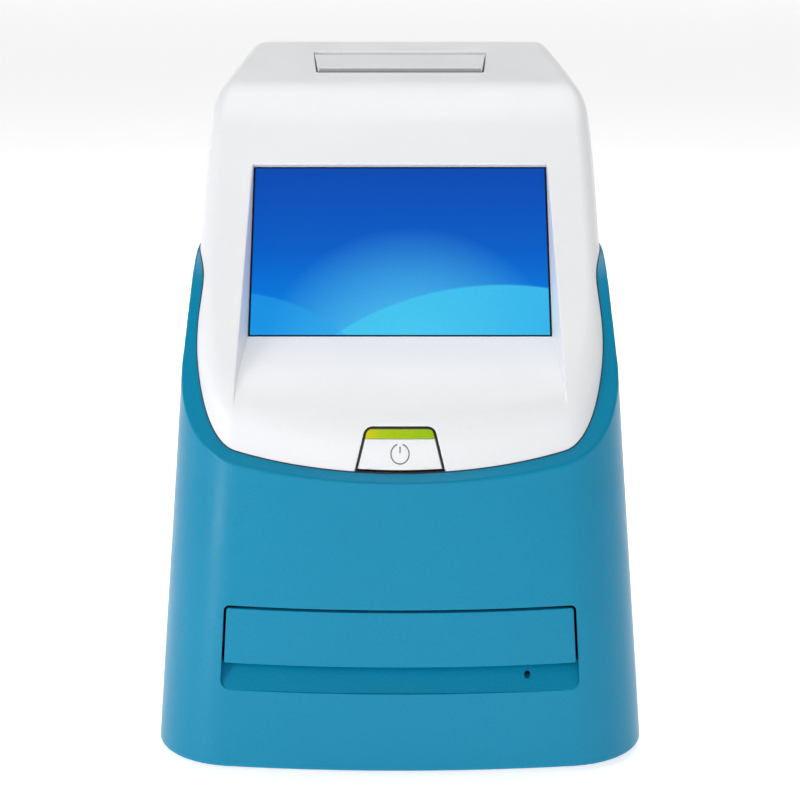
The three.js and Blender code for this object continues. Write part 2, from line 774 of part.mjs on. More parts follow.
// Bends a piece to follow the bulge of the front.
function bendToFront(geometry) {
  const place = geometry.attributes.position;
  for (let i = 0; i < place.count; i++) {
    const x = place.getX(i);
    place.setY(i, place.getY(i) + baseNoseRadius - Math.sqrt(baseNoseRadius ** 2 - x ** 2));
  }
  return geometry;
}

function scoopCutter() {
  const start = frontY + baseFrontSlope * (mouthFoot - footHeight);
  const curve = Array.from({ length: scoopSteps + 1 }, (_, i) => {
    const angle = ((Math.PI / 2) * i) / scoopSteps;
    return [start + scoopDepth * Math.sin(angle), mouthFoot + scoopHeight * (1 - Math.cos(angle))];
  });
  const profile = [
    [start - overrun, mouthFoot],
    ...curve,
    [start - overrun, drawerFoot],
  ];
  const bent = solid(bendToFront(slabX(profile, [-sideX, sideX], 2 * noseSteps)));
  return bent.intersect(slabY(mouthShape(0), [-depth, 0]));
}

// A piece of each kind near each corner: left and right at the front, then at the rear.
const cornerSpots = (front, rear) => [
  [front.side - sideX, frontY + front.end],
  [sideX - front.side, frontY + front.end],
  [rear.side - sideX, rearY - rear.end],
  [sideX - rear.side, rearY - rear.end],
];
const bossSpots = cornerSpots(bossFront, bossRear);
const bossPosts = (radius, span) => bossSpots.map(([x, y]) => post(radius, x, y, span, smallRoundSteps));

function baseShell() {
  const outer = baseSolid(0, footHeight, baseTop);
  const walls = cut(outer, baseSolid(baseWall, footHeight - overrun, baseTop + overrun));
  const flange = cut(outer.intersect(rimBand(-rimFlange, 0)), tongueHole, overHole(0));
  const frameBack = frontY + mouthDepth + baseWall;
  const mouthFrame = outer.intersect(slabY(mouthShape(baseWall), [-depth, frameBack]));
  const pillars = join(...bossPosts(bossRadius, [plateTop, plateTop + bossHeight]));
  const pillarSolid = pillars.intersect(baseSolid(seat, footHeight, baseTop));
  const screwHoles = bossPosts(screwRadius + running, [0, plateTop + screwLength]);
  const passage = slabY(mouthShape(0), [-depth, 0]).intersect(
    block([-depth, depth], [-depth, 0], [drawerFoot - drawerGap, sky]),
  );
  const slots = Array.from({ length: grilleSlots }, (_, i) => {
    const middle = fanZ + (i - (grilleSlots - 1) / 2) * grillePitch;
    const span = [middle - grilleSlotHeight / 2, middle + grilleSlotHeight / 2];
    return block([-grilleHalf, grilleHalf], [fanBackY, depth], span);
  });
  const rearOpening = block(
    [-panelHalf + panelRim, panelHalf - panelRim],
    [panelBackY - seat, depth],
    [panelFoot + panelRim, panelTop - panelRim],
  );
  const release = peg(
    pinhole.radius,
    mouthHalfFoot - pinhole.inset,
    [-depth, frameBack + seat],
    mouthFoot + pinhole.rise,
    smallRoundSteps,
  );
  return cut(
    join(cut(join(walls, mouthFrame), aboveRim(0)), flange, pillarSolid),
    passage,
    scoopCutter(),
    ...screwHoles,
    ...slots,
    rearOpening,
    release,
  );
}

// The base plate, feet and screws

function basePlate() {
  const outline = baseOutline(plateFoot, plateInset).map(([x, y]) => [x, y]);
  const holes = bossPosts(screwRadius + slideGap, [0, plateTop + overrun]);
  return cut(slabZ(outline, [plateFoot, plateTop]), ...holes);
}

function baseScrew([x, y]) {
  const head = [plateFoot - screwHeadHeight, plateFoot];
  const thread = [plateFoot - screwHeadHeight / 2, plateTop + screwLength - seat];
  return join(
    post(screwHeadRadius, x, y, head, smallRoundSteps),
    post(screwRadius, x, y, thread, smallRoundSteps),
  );
}

const footPad = ([x, y]) => post(footRadius, x, y, [0, plateFoot]);

// The screen's pieces

const glass = () =>
  screenBlock(
    screenHalfWidth - seat,
    [seat, screenHeight - seat],
    [-glassSink - glassThickness, -glassSink],
  );

const lcdTop = -Math.max(glassSink + glassThickness, headWall) - seat;
const lcdModule = () =>
  screenBlock(
    screenHalfWidth + lcdMargin,
    [-lcdMargin, screenHeight + lcdMargin],
    [lcdTop - lcdThickness, lcdTop],
  );
const lcdBracket = () =>
  screenBlock(
    screenHalfWidth + lcdMargin - bracketMargin,
    [bracketMargin - lcdMargin, screenHeight + lcdMargin - bracketMargin],
    [lcdTop - lcdThickness - seat - bracketThickness, lcdTop - lcdThickness - seat],
  );

// The power button: its cap follows the head's surface, with a lit band at the top

// Between two depths behind the head's front wall.
function noseLayer(from, to) {
  const zs = [rimFront.height, buttonTopHeight + buttonDepth];
  const run = (inset) => inset * Math.hypot(1, noseWallSlope);
  const outline = [
    ...zs.map((z) => [noseY(z) + run(from), z]),
    ...zs.toReversed().map((z) => [noseY(z) + run(to), z]),
  ];
  return solid(slabX(outline, [-headHalfWidth, headHalfWidth]));
}

// The flange stops the cap behind the wall around its opening.
const flangeFront = tongueInset + tongueWall + seat;
const flangeBack = flangeFront + flangeThickness;
const noseBlock = (low, high) => block([-headHalfWidth, headHalfWidth], [-depth, 0], [low, high]);
const flange = slabY(buttonShape(flangeReach), [frontY, 0])
  .intersect(headSolid(flangeFront))
  .intersect(noseLayer(0, flangeBack))
  .intersect(noseBlock(buttonFootHeight - flangeReach, foldHeight));

// Pushed in, the cap must not meet the ledge, which rises behind it.
const buttonBody = headFull
  .intersect(buttonSpace(0))
  .intersect(aboveRim(seat + buttonTravel))
  .intersect(noseLayer(-overrun, flangeBack));
const buttonLens = () =>
  buttonBody.intersect(noseBlock(lensHeight, sky)).intersect(noseLayer(-overrun, flangeFront - seat));
function buttonCap() {
  const lensSpace = noseBlock(lensHeight - seat, sky).intersect(noseLayer(-overrun, flangeFront));
  return join(cut(buttonBody, lensSpace), flange);
}

// The switch sits behind the cap on a board with two legs to the head's wall.
function buttonSwitch() {
  const { width, depth: length, height } = switchSize;
  const { half, thickness, leg } = switchBoard;
  const top = buttonFootHeight + height;
  const front = noseY(top) + flangeBack * Math.hypot(1, noseWallSlope) + buttonTravel + seat;
  const back = front + length;
  const zs = [buttonFootHeight, top];
  const legs = [
    block([-half, leg - half], [-depth, back], zs),
    block([half - leg, half], [-depth, back], zs),
  ];
  const whole = join(
    block([-width / 2, width / 2], [front, back], zs),
    block([-half, half], [back - thickness, back], zs),
    ...legs,
  );
  return whole.intersect(headSolid(flangeFront));
}

// The drawer

function drawerFront() {
  const mouthSlope = (mouthHalfFoot - mouthHalfTop) / mouthHeight;
  const shape = taperedShape(
    mouthHalfFoot - drawerGap - mouthSlope * scoopHeight,
    mouthHalfTop - drawerGap,
    drawerFoot,
    mouthTop - drawerGap,
    drawerGap,
    mouthTopCorner - drawerGap / 2,
  );
  return baseSolid(0, footHeight, baseTop).intersect(slabY(shape, [-depth, drawerBackY]));
}

function discTray() {
  const top = trayFoot + trayThickness;
  const plate = block([-trayHalfWidth, trayHalfWidth], [trayFrontY, trayBackY], [trayFoot, top]);
  return cut(
    plate,
    post(discPocketRadius, 0, discY, [top - discPocketDepth, top + overrun]),
    post(discSlotHalf, 0, discY, [trayFoot - overrun, top + overrun]),
    block([-discSlotHalf, discSlotHalf], [discY, trayBackY + overrun], [trayFoot - overrun, top + overrun]),
  );
}

const pitchRadius = (gearModule * pinionTeeth) / 2;
const toothPitch = Math.PI * gearModule;
const addendum = gearModule;
const dedendum = 1.25 * gearModule;
const pressureAngle = THREE.MathUtils.degToRad(20);

// The rack runs along the tray's left edge, teeth to the right, one tooth in line with the pinion.
function drawerRack() {
  const pitchX = pinionX - pitchRadius;
  const halfAt = (out) => (toothPitch / 2 - gearBacklash) / 2 - out * Math.tan(pressureAngle);
  const points = [];
  for (let i = -teethAhead; i < rackTeeth - teethAhead; i++) {
    const y = pinionY + i * toothPitch;
    points.push(
      [pitchX - dedendum, y - halfAt(-dedendum)],
      [pitchX + addendum, y - halfAt(addendum)],
      [pitchX + addendum, y + halfAt(addendum)],
      [pitchX - dedendum, y + halfAt(-dedendum)],
    );
  }
  const back = pitchX - dedendum - rackBackThickness;
  const [first, last] = [points[0][1], points[points.length - 1][1]];
  const end = toothPitch / 4;
  points.push(
    [pitchX - dedendum, last + end],
    [back, last + end],
    [back, first - end],
    [pitchX - dedendum, first - end],
  );
  return slabZ(points, [trayFoot - gearThickness, trayFoot]);
}

function drawerPinion() {
  const baseRadius = pitchRadius * Math.cos(pressureAngle);
  const roll = (radius) => Math.sqrt((radius / baseRadius) ** 2 - 1);
  const spread = (radius) => roll(radius) - Math.atan(roll(radius));
  const halfTooth = (toothPitch / 2 - gearBacklash) / (2 * pitchRadius);
  const radii = [baseRadius, pitchRadius, pitchRadius + addendum / 2, pitchRadius + addendum];
  const halfAt = (radius) => halfTooth + spread(pitchRadius) - spread(radius);
  const rootRadius = pitchRadius - dedendum;
  const points = [];
  for (let i = 0; i < pinionTeeth; i++) {
    const middle = Math.PI + ((i + 0.5) * 2 * Math.PI) / pinionTeeth;
    const flank = (side, radius) => {
      const angle = middle + side * halfAt(Math.max(radius, baseRadius));
      return [pinionX + radius * Math.cos(angle), pinionY + radius * Math.sin(angle)];
    };
    points.push(flank(-1, rootRadius), ...radii.map((radius) => flank(-1, radius)));
    points.push(...radii.toReversed().map((radius) => flank(1, radius)), flank(1, rootRadius));
  }
  const gear = slabZ(points, [trayFoot - gearThickness, trayFoot - seat]);
  const shaftSpan = [motorTop - shaftDepth + seat, trayFoot - shaftRise];
  return join(gear, post(shaftRadius, pinionX, pinionY, shaftSpan, smallRoundSteps));
}

function drawerMotor() {
  return cut(
    post(motorRadius, pinionX, pinionY, [plateTop, motorTop]),
    post(shaftRadius + running, pinionX, pinionY, [motorTop - shaftDepth, sky], smallRoundSteps),
  );
}

function rail(side) {
  const inner = trayHalfWidth + slideGap;
  const profile = (low, high) => (side > 0 ? [low, high] : [-high, -low]);
  const along = [railFrontY, railBackY];
  const wall = block(profile(inner, inner + railThickness), along, [plateTop, railTop]);
  const across = profile(inner - railLip, inner + railThickness / 2);
  const lips = [trayFoot - slideGap - railLipThickness, trayFoot + trayThickness + slideGap].map((z) =>
    block(across, along, [z, z + railLipThickness]),
  );
  return join(wall, ...lips);
}

// The spindle, its lift and the clamp over it

const liftActuator = () =>
  cut(
    post(actuatorRadius, 0, discY, [plateTop, actuatorTop]),
    post(plungerRadius + running, 0, discY, [plungerFoot - liftTravel / 2, actuatorTop + overrun]),
  );

function liftCarrier() {
  const { halfWidth, halfDepth } = liftPlate;
  const span = [liftPlateFoot, liftPlateTop];
  const plate = block([-halfWidth, halfWidth], [discY - halfDepth, discY + halfDepth], span);
  const holes = [-guideX, guideX].map((x) => post(guideRadius + running, x, discY, [0, sky]));
  return join(cut(plate, ...holes), post(plungerRadius, 0, discY, [plungerFoot, (span[0] + span[1]) / 2]));
}

const guidePost = (side) => post(guideRadius, side * guideX, discY, [plateTop, guideTop]);

const spindleMotor = () =>
  cut(
    post(spindleRadius, 0, discY, [liftPlateTop, spindleTop]),
    post(hubShaftRadius + running, 0, discY, [hubShaftFoot - seat, sky]),
  );

const spindleHub = () =>
  join(
    post(hubBellRadius, 0, discY, [spindleTop + seat, hubBellTop]),
    post(hubRadius, 0, discY, [hubBellTop - seat, hubTop]),
    post(hubShaftRadius, 0, discY, [hubShaftFoot, hubBellTop]),
  );

const lidTop = railTop + lidThickness;
const lidHalf = trayHalfWidth + slideGap + railThickness;
const chamberLid = () =>
  cut(
    block([-lidHalf, lidHalf], [railFrontY, discY + lidBehindDisc], [railTop, lidTop]),
    post(puckRadius + slideGap, 0, discY, [0, sky]),
    post(lightRadius, 0, lightY, [0, sky], smallRoundSteps),
  );

const puckFlangeTop = lidTop + seat + puckFlangeThickness;
const clampPuck = () =>
  join(
    post(puckRadius, 0, discY, [railTop + seat, lidTop + seat * 2]),
    post(puckFlangeRadius, 0, discY, [lidTop + seat, puckFlangeTop]),
    post(puckBossRadius, 0, discY, [lidTop + seat, puckFlangeTop + puckBossHeight]),
  );

function clampBridge() {
  const { half, depth: across, leg, rise, thickness } = bridge;
  const span = [discY - across / 2, discY + across / 2];
  const top = lidTop + rise + thickness;
  const strap = block([-half, half], span, [lidTop + rise, top]);
  const legs = [-1, 1].map((side) =>
    block(side > 0 ? [half - leg, half] : [-half, leg - half], span, [lidTop, top]),
  );
  return cut(join(strap, ...legs), post(puckBossRadius + slideGap, 0, discY, [0, sky]));
}

// Optics, readers and electronics

const besideLight = ({ front, back }) => [lightY - front, lightY + back];
const lampTop = trayFoot - lamp.gap;
const lampModule = () => block([-lamp.half, lamp.half], besideLight(lamp), [plateTop, lampTop]);
const lampLens = () => post(lampLensRadius, 0, lightY, [lampTop, lampTop + lampLensHeight]);
function photometerBlock() {
  const { half, height } = photometer;
  return cut(
    block([-half, half], besideLight(photometer), [lidTop, lidTop + height]),
    post(lightRadius, 0, lightY, [0, lidTop + height / 2], smallRoundSteps),
  );
}
const barcodeReader = () =>
  block([reader.left, reader.left + reader.width], besideLight(reader), [lidTop, lidTop + reader.height]);

const boardY = trayBackY + board.behindTray;
const boardHalf = sideX - board.side;
function mainBoard() {
  const onBoard = ({ half, rise, height, thickness }) =>
    block(
      [-half, half],
      [boardY - thickness, boardY + board.thickness / 2],
      [plateTop + rise, plateTop + rise + height],
    );
  const sheet = block([-boardHalf, boardHalf], [boardY, boardY + board.thickness], [plateTop, board.top]);
  return join(sheet, onBoard(chip), onBoard(plugStrip));
}
function boardStand() {
  const front = boardY + board.thickness + seat;
  const { half, thickness, foot, height } = boardBracket;
  return join(
    block([-half, half], [front, front + thickness], [plateTop, plateTop + height]),
    block([-half, half], [front, front + foot], [plateTop, plateTop + thickness]),
  );
}
function powerSupply() {
  const left = supply.side - sideX;
  const span = [boardY + board.thickness + supply.front, rearY - supply.back];
  return block([left, left + supply.width], span, [plateTop, plateTop + supply.height]);
}

// The fan

const fanFront = fanBackY - fanThickness;
function fanFrame() {
  const body = cut(
    block([-fanHalf, fanHalf], [fanFront, fanBackY], [fanZ - fanHalf, fanZ + fanHalf]),
    peg(fanBore, 0, [fanFront - overrun, fanBackY + overrun], fanZ),
  );
  const spokeSpan = [fanFront, fanFront + fanSpoke];
  const end = fanBore + fanWall / 2;
  const spokes = [
    block([-end, end], spokeSpan, [fanZ - fanSpoke / 2, fanZ + fanSpoke / 2]),
    block([-fanSpoke / 2, fanSpoke / 2], spokeSpan, [fanZ - end, fanZ + end]),
  ];
  const motor = peg(fanHubRadius, 0, spokeSpan, fanZ);
  const through = [fanFront - overrun, fanFront + overrun];
  const bore = peg(fanPinRadius + running, 0, through, fanZ, smallRoundSteps);
  return cut(join(body, ...spokes, motor), bore);
}

function fanRotor() {
  const start = fanFront + fanSpoke + seat;
  const length = (fanThickness - fanSpoke) * fanBladeShare;
  const hub = peg(fanHubRadius, 0, [start, start + length], fanZ);
  const pin = peg(fanPinRadius, 0, [fanFront + seat, start + length / 2], fanZ, smallRoundSteps);
  const reachOut = fanBladeRadius - fanHubRadius / 2;
  const blades = Array.from({ length: fanBlades }, (_, i) => {
    const blade = new THREE.BoxGeometry(length * fanBladeChordShare, fanBladeThickness, reachOut)
      .rotateZ(fanBladeTurn)
      .translate(0, 0, fanHubRadius / 2 + reachOut / 2)
      .rotateY((2 * Math.PI * i) / fanBlades)
      .translate(0, start + length / 2, fanZ);
    return solid(blade);
  });
  return join(hub, pin, ...blades);
}

// The rear panel and its sockets

const panelFront = panelBackY - panelThickness;
const socketSpan = (size) => [panelBackY + socketProud - size.depth, panelBackY + socketProud];
function socketBody(size, x, grow = 0) {
  return block(
    [x - size.half - grow, x + size.half + grow],
    grow ? [panelFront - overrun, panelBackY + overrun] : socketSpan(size),
    [socketFoot - grow, socketFoot + size.height + grow],
  );
}
function socketMouth(size, x) {
  const middle = socketFoot + size.height / 2;
  return block(
    [x - size.mouthHalf, x + size.mouthHalf],
    [panelBackY + socketProud - size.mouthDepth, panelBackY + overrun],
    [middle - size.mouthHeight / 2, middle + size.mouthHeight / 2],
  );
}

const ethernetX = 0;
const usbXs = usbShares.map((share) => share * panelHalf);
const rockerX = rockerShare * panelHalf;
const powerJackX = powerJackShare * panelHalf;
function rearPanel() {
  return cut(
    block([-panelHalf, panelHalf], [panelFront, panelBackY], [panelFoot, panelTop]),
    socketBody(ethernet, ethernetX, seat),
    ...usbXs.map((x) => socketBody(usb, x, seat)),
    socketBody(powerJack, powerJackX, seat),
    socketBody(rocker, rockerX, seat),
  );
}
const ethernetPort = () => cut(socketBody(ethernet, ethernetX), socketMouth(ethernet, ethernetX));
const usbPort = (x) => cut(socketBody(usb, x), socketMouth(usb, x));
function powerSocket() {
  const z = socketFoot + powerJack.height / 2;
  const back = panelBackY + socketProud;
  const deep = back - powerJack.mouthDepth;
  const hole = peg(powerJack.holeRadius, powerJackX, [deep, back + overrun], z, smallRoundSteps);
  const pinSpan = [deep - powerPin.sink, back - powerPin.sink];
  const pin = peg(powerPin.radius, powerJackX, pinSpan, z, smallRoundSteps);
  return join(cut(socketBody(powerJack, powerJackX), hole), pin);
}

const rockerPinY = panelBackY - rocker.pinSink;
const rockerPinZ = socketFoot + rocker.height / 2;
function rockerAxle(radius, inset) {
  const half = rocker.half - inset;
  return axle(radius, [rockerX - half, rockerX + half], rockerPinY, rockerPinZ, smallRoundSteps);
}
function rockerFrame() {
  const half = rocker.half - rocker.wall;
  const inside = block(
    [rockerX - half, rockerX + half],
    [panelBackY - rocker.hollow, panelBackY + overrun],
    [socketFoot + rocker.wall, socketFoot + rocker.height - rocker.wall],
  );
  return cut(socketBody(rocker, rockerX), inside, rockerAxle(rocker.pinRadius + running, rockerPinEnd.bore));
}
function rockerKey() {
  const { endGap, front, dish, rim: step, root } = rockerKeySize;
  const half = rocker.half - rocker.wall - slideGap;
  const long = rocker.height / 2 - rocker.wall - endGap;
  const profile = [
    [-root, 0],
    [front - step, -long],
    [front, -long],
    [front - dish, 0],
    [front, long],
    [front - step, long],
  ];
  const turned = new THREE.Matrix4().makeRotationX(-rockerTilt);
  const key = slabX(profile, [-half, half]).applyMatrix4(turned).translate(rockerX, rockerPinY, rockerPinZ);
  return join(solid(key), rockerAxle(rocker.pinRadius, rockerPinEnd.pin));
}

// The receipt printer

const platenZ = roofZ(platenY) - platen.drop;
const lidPin = (radius) => axle(radius, [-headHalfWidth, headHalfWidth], lidPinY, lidPinZ, smallRoundSteps);

// The lid's plate runs from its raised lip to the hinge, where its back edge curls round the pin.
function printerLid() {
  const lipZ = roofZ(lidFront) + lidRise;
  const curl = (radius) =>
    Array.from({ length: curlSteps + 1 }, (_, i) => {
      const angle = (curlEnd * i) / curlSteps;
      return [lidPinY + radius * Math.sin(angle), lidPinZ + radius * Math.cos(angle)];
    });
  const profile = [
    [lidFront, lipZ],
    [lidFront + lidLipUndercut, lipZ - lidPlate],
    ...curl(lidPinDrop - lidPlate),
    ...curl(lidPinDrop).reverse(),
  ];
  const plate = slabX(profile, [-1, 1]);
  const place = plate.attributes.position;
  for (let i = 0; i < place.count; i++) {
    const share = (place.getY(i) - lidFront) / (lidPinY - lidFront);
    place.setX(i, Math.sign(place.getX(i)) * (lidFrontHalf + (lidBackHalf - lidFrontHalf) * share));
  }
  const barrelHalf = lidEar.inner - slideGap;
  const barrel = axle(lidBarrelRadius, [-barrelHalf, barrelHalf], lidPinY, lidPinZ);
  const ears = [-1, 1].map((side) => {
    const inner = platen.half + slideGap;
    const outer = inner + platenEar.thickness;
    return block(
      side > 0 ? [inner, outer] : [-outer, -inner],
      [platenY - platenEar.depth / 2, platenY + platenEar.depth / 2],
      [platenZ - platenEar.depth / 2, roofZ(platenY) + (lidRise - lidPlate) / 2],
    );
  });
  return cut(
    join(solid(plate), barrel, ...ears),
    lidPin(lidPinRadius + running),
    axle(platen.pinRadius + running, [-headHalfWidth, headHalfWidth], platenY, platenZ, smallRoundSteps),
  );
}

function platenRoller() {
  const end = platen.half + platen.pinLength;
  return join(
    axle(platen.radius, [-platen.half, platen.half], platenY, platenZ),
    axle(platen.pinRadius, [-end, end], platenY, platenZ, smallRoundSteps),
  );
}

// The hinge pin's ends sit in two ears of the paper bucket.
const earOuter = lidEar.inner + lidEar.thickness;
const hingePin = () =>
  axle(lidPinRadius, [seat - earOuter, earOuter - seat], lidPinY, lidPinZ, smallRoundSteps);

function printerBucket() {
  const { half, wall, pinAhead, rollRadius } = bucket;
  const [floorZ, top] = [lidPinZ - bucket.floorDrop, lidPinZ - bucket.topDrop];
  const outline = (grow) => {
    const radius = rollRadius + grow;
    const middle = lidPinY - pinAhead;
    const rimZ = top + (grow ? 0 : overrun);
    const arc = Array.from({ length: bucketSteps + 1 }, (_, i) => {
      const angle = Math.PI * (1 + i / bucketSteps);
      return [middle + radius * Math.cos(angle), floorZ + rollRadius + radius * Math.sin(angle)];
    });
    return [...arc, [middle + radius, rimZ], [middle - radius, rimZ]];
  };
  const tub = cut(
    solid(slabX(outline(wall), [-half, half])),
    solid(slabX(outline(0), [wall - half, half - wall])),
  );
  const ears = [-1, 1].map((side) => {
    const span = (from, to) => (side > 0 ? [from, to] : [-to, -from]);
    const depthSpan = [lidPinY - lidEar.radius, lidPinY + lidEar.radius];
    return join(
      block(span(half - wall, earOuter), depthSpan, [lidPinZ - lidEar.drop, top]),
      block(span(lidEar.inner, earOuter), depthSpan, [top - wall, lidPinZ]),
      axle(lidEar.radius, span(lidEar.inner, earOuter), lidPinY, lidPinZ),
    );
  });
  return cut(join(tub, ...ears), lidPin(lidPinRadius + running));
}

function thermalHead() {
  const y = platenY - platen.radius - seat;
  return block(
    [-printHead.half, printHead.half],
    [y - printHead.thickness, y],
    [platenZ - printHead.below, platenZ + printHead.above],
  );
}

function tearBlade() {
  const { half, thickness, height } = tearBar;
  const y = lidFront - lidGap;
  const top = roofZ(y);
  return block([-half, half], [y + seat, y + seat + thickness], [top - height, top]);
}

// Colours

const material = (color, roughness, metalness = 0) =>
  new THREE.MeshStandardMaterial({ color, roughness, metalness });
const teal = material(0x1f9cc4, 0.45);
const white = material(0xf2f3f5, 0.35);
const lime = material(0xa6d608, 0.3);
const glassBlue = material(0x0a5fd2, 0.08);
const black = material(0x17181a, 0.5);
const grey = material(0x8f959b, 0.5);
const rubber = material(0x222326, 0.9);
const steel = material(0xb9bdc2, 0.3, 1);
const aluminium = material(0xc9ccd0, 0.35, 1);
const boardGreen = material(0x1d6b3c, 0.6);
const brass = material(0xc9a24a, 0.35, 1);
const lensClear = material(0xdfe9ef, 0.05);

const analyzer = new THREE.Group();
analyzer.name = "chemistry_analyzer";
function add(name, made, finish) {
  const mesh = new THREE.Mesh(geometryOf(made), finish);
  mesh.name = name;
  analyzer.add(mesh);
}

add("base_shell", baseShell(), teal);
add("head_shell", headShell(), white);
add("base_plate", basePlate(), steel);
const cornerNames = ["front_left", "front_right", "rear_left", "rear_right"];
bossSpots.forEach((spot, i) => add(`base_screw_${cornerNames[i]}`, baseScrew(spot), steel));
cornerSpots(footInset, footInset).forEach((spot, i) => add(`foot_${cornerNames[i]}`, footPad(spot), rubber));
add("touch_glass", glass(), glassBlue);
add("lcd_module", lcdModule(), aluminium);
add("lcd_bracket", lcdBracket(), steel);
add("power_button", buttonCap(), white);
add("button_lens", buttonLens(), lime);
add("button_switch", buttonSwitch(), black);
add("drawer_front", drawerFront(), teal);
add("disc_tray", discTray(), grey);
add("drawer_rack", drawerRack(), black);
add("drawer_pinion", drawerPinion(), white);
add("drawer_motor", drawerMotor(), steel);
add("rail_left", rail(-1), grey);
add("rail_right", rail(1), grey);
add("lift_actuator", liftActuator(), steel);
add("lift_plate", liftCarrier(), aluminium);
add("guide_post_left", guidePost(-1), steel);
add("guide_post_right", guidePost(1), steel);
add("spindle_motor", spindleMotor(), black);
add("spindle_hub", spindleHub(), aluminium);
add("chamber_lid", chamberLid(), aluminium);
add("clamp_puck", clampPuck(), grey);
add("clamp_bridge", clampBridge(), steel);
add("lamp_module", lampModule(), black);
add("lamp_lens", lampLens(), lensClear);
add("photometer", photometerBlock(), black);
add("barcode_reader", barcodeReader(), black);
add("main_board", mainBoard(), boardGreen);
add("board_bracket", boardStand(), steel);
add("power_supply", powerSupply(), aluminium);
add("fan_frame", fanFrame(), black);
add("fan_rotor", fanRotor(), black);
add("rear_panel", rearPanel(), grey);
add("ethernet_port", ethernetPort(), steel);
usbXs.forEach((x, i) => add(`usb_port_${i + 1}`, usbPort(x), steel));
add("power_socket", powerSocket(), black);
add("rocker_frame", rockerFrame(), black);
add("power_rocker", rockerKey(), black);
add("printer_bucket", printerBucket(), grey);
add("printer_lid", printerLid(), white);
add("lid_hinge_pin", hingePin(), steel);
add("platen_roller", platenRoller(), rubber);
add("thermal_head", thermalHead(), brass);
add("tear_bar", tearBlade(), grey);

export default analyzer;
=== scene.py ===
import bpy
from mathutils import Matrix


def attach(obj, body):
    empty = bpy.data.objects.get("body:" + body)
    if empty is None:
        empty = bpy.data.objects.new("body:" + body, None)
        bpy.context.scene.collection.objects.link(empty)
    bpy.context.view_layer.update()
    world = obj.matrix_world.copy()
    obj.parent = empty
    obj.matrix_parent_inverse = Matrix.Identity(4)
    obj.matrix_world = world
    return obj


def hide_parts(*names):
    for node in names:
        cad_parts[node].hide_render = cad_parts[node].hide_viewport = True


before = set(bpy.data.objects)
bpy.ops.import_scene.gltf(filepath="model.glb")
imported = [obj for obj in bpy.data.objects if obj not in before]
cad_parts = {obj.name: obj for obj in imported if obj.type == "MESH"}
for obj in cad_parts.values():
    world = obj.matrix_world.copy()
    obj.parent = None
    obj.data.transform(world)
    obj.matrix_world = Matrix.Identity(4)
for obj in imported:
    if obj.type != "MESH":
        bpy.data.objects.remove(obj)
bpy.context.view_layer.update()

import math

import bpy
import numpy as np
from mathutils import Vector

scene = bpy.context.scene
MM = 0.001

# The camera and the stage, in metres; the focal length is in pixels of the photo

CAMERA_PLACE, CAMERA_TILT = (0.0, -1.03798, 0.408995), 76
FOCAL_LENGTH, PHOTO_SIDE, SENSOR = 1993.44, 800, 36

camera = bpy.data.objects.new("camera", bpy.data.cameras.new("camera"))
scene.collection.objects.link(camera)
camera.location = CAMERA_PLACE
camera.rotation_euler = (math.radians(CAMERA_TILT), 0, 0)
camera.data.sensor_width = SENSOR
camera.data.lens = FOCAL_LENGTH / PHOTO_SIDE * SENSOR
scene.camera = camera
scene.view_settings.view_transform = "Standard"

world = bpy.data.worlds.new("studio")
scene.world = world
world.use_nodes = True
backdrop = world.node_tree.nodes["Background"]
backdrop.inputs["Color"].default_value = (1.0, 1.0, 1.0, 1)
backdrop.inputs["Strength"].default_value = 0.22


def soft_light(name, place, aim, size, power):
    data = bpy.data.lights.new(name, "AREA")
    data.shape = "RECTANGLE"
    data.size, data.size_y = size
    data.energy = power
    lamp = bpy.data.objects.new(name, data)
    lamp.location = place
    lamp.rotation_euler = (Vector(aim) - Vector(place)).to_track_quat("-Z", "Y").to_euler()
    scene.collection.objects.link(lamp)


soft_light("key", (-1.2, -1.0, 0.5), (0, 0, 0.14), (0.2, 1.3), 9)
soft_light("front", (-0.1, -1.7, 0.95), (0, 0, 0.12), (0.9, 0.6), 5)
soft_light("top", (0.1, 0.7, 1.9), (0, 0, 0.2), (1.5, 1.4), 19)

# Sizes and places in millimetres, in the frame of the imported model

# The lower housing: its outline, walls and the rim that the ledge follows
FRONT, REAR, HALF = -150.0, 150.0, 120.5
FOOT, OUTLINE_TOP = 3.0, 262.0
SIDE_SLOPE, FRONT_SLOPE, BACK_SLOPE = 0.072, 0.107, 0.005
FRONT_ROUND_LOW, FRONT_ROUND_HIGH, FRONT_ROUND_RISE = 650, 360, 138.0
FRONT_CORNER, REAR_CORNER = 42.0, 30.0
HOUSING_WALL, HOUSING_EDGE, HOUSING_FOOT_EDGE = 3.0, 0.9, 1.6
RIM_FRONT, RIM_KNEE = (-138.0, 141.0), (-65.9953, 210.5)
RIM_TOP, RIM_REAR = (-22.004, 238.5), (170.0, 241.0)
RIM_LEAD, FRONT_HANDLE, TOP_HANDLE = (-30, -18), (15, 9), (-22, -0.5)
KNEE_HANDLE_BEFORE, KNEE_HANDLE_AFTER = (-26, -32), (11, 13.5)
LEDGE = 3.0
LEDGE_HOLE_HALF, LEDGE_HOLE_FRONT, LEDGE_HOLE_REAR, LEDGE_HOLE_FOOT = 90.0, -92.0, -22.0, 141.0

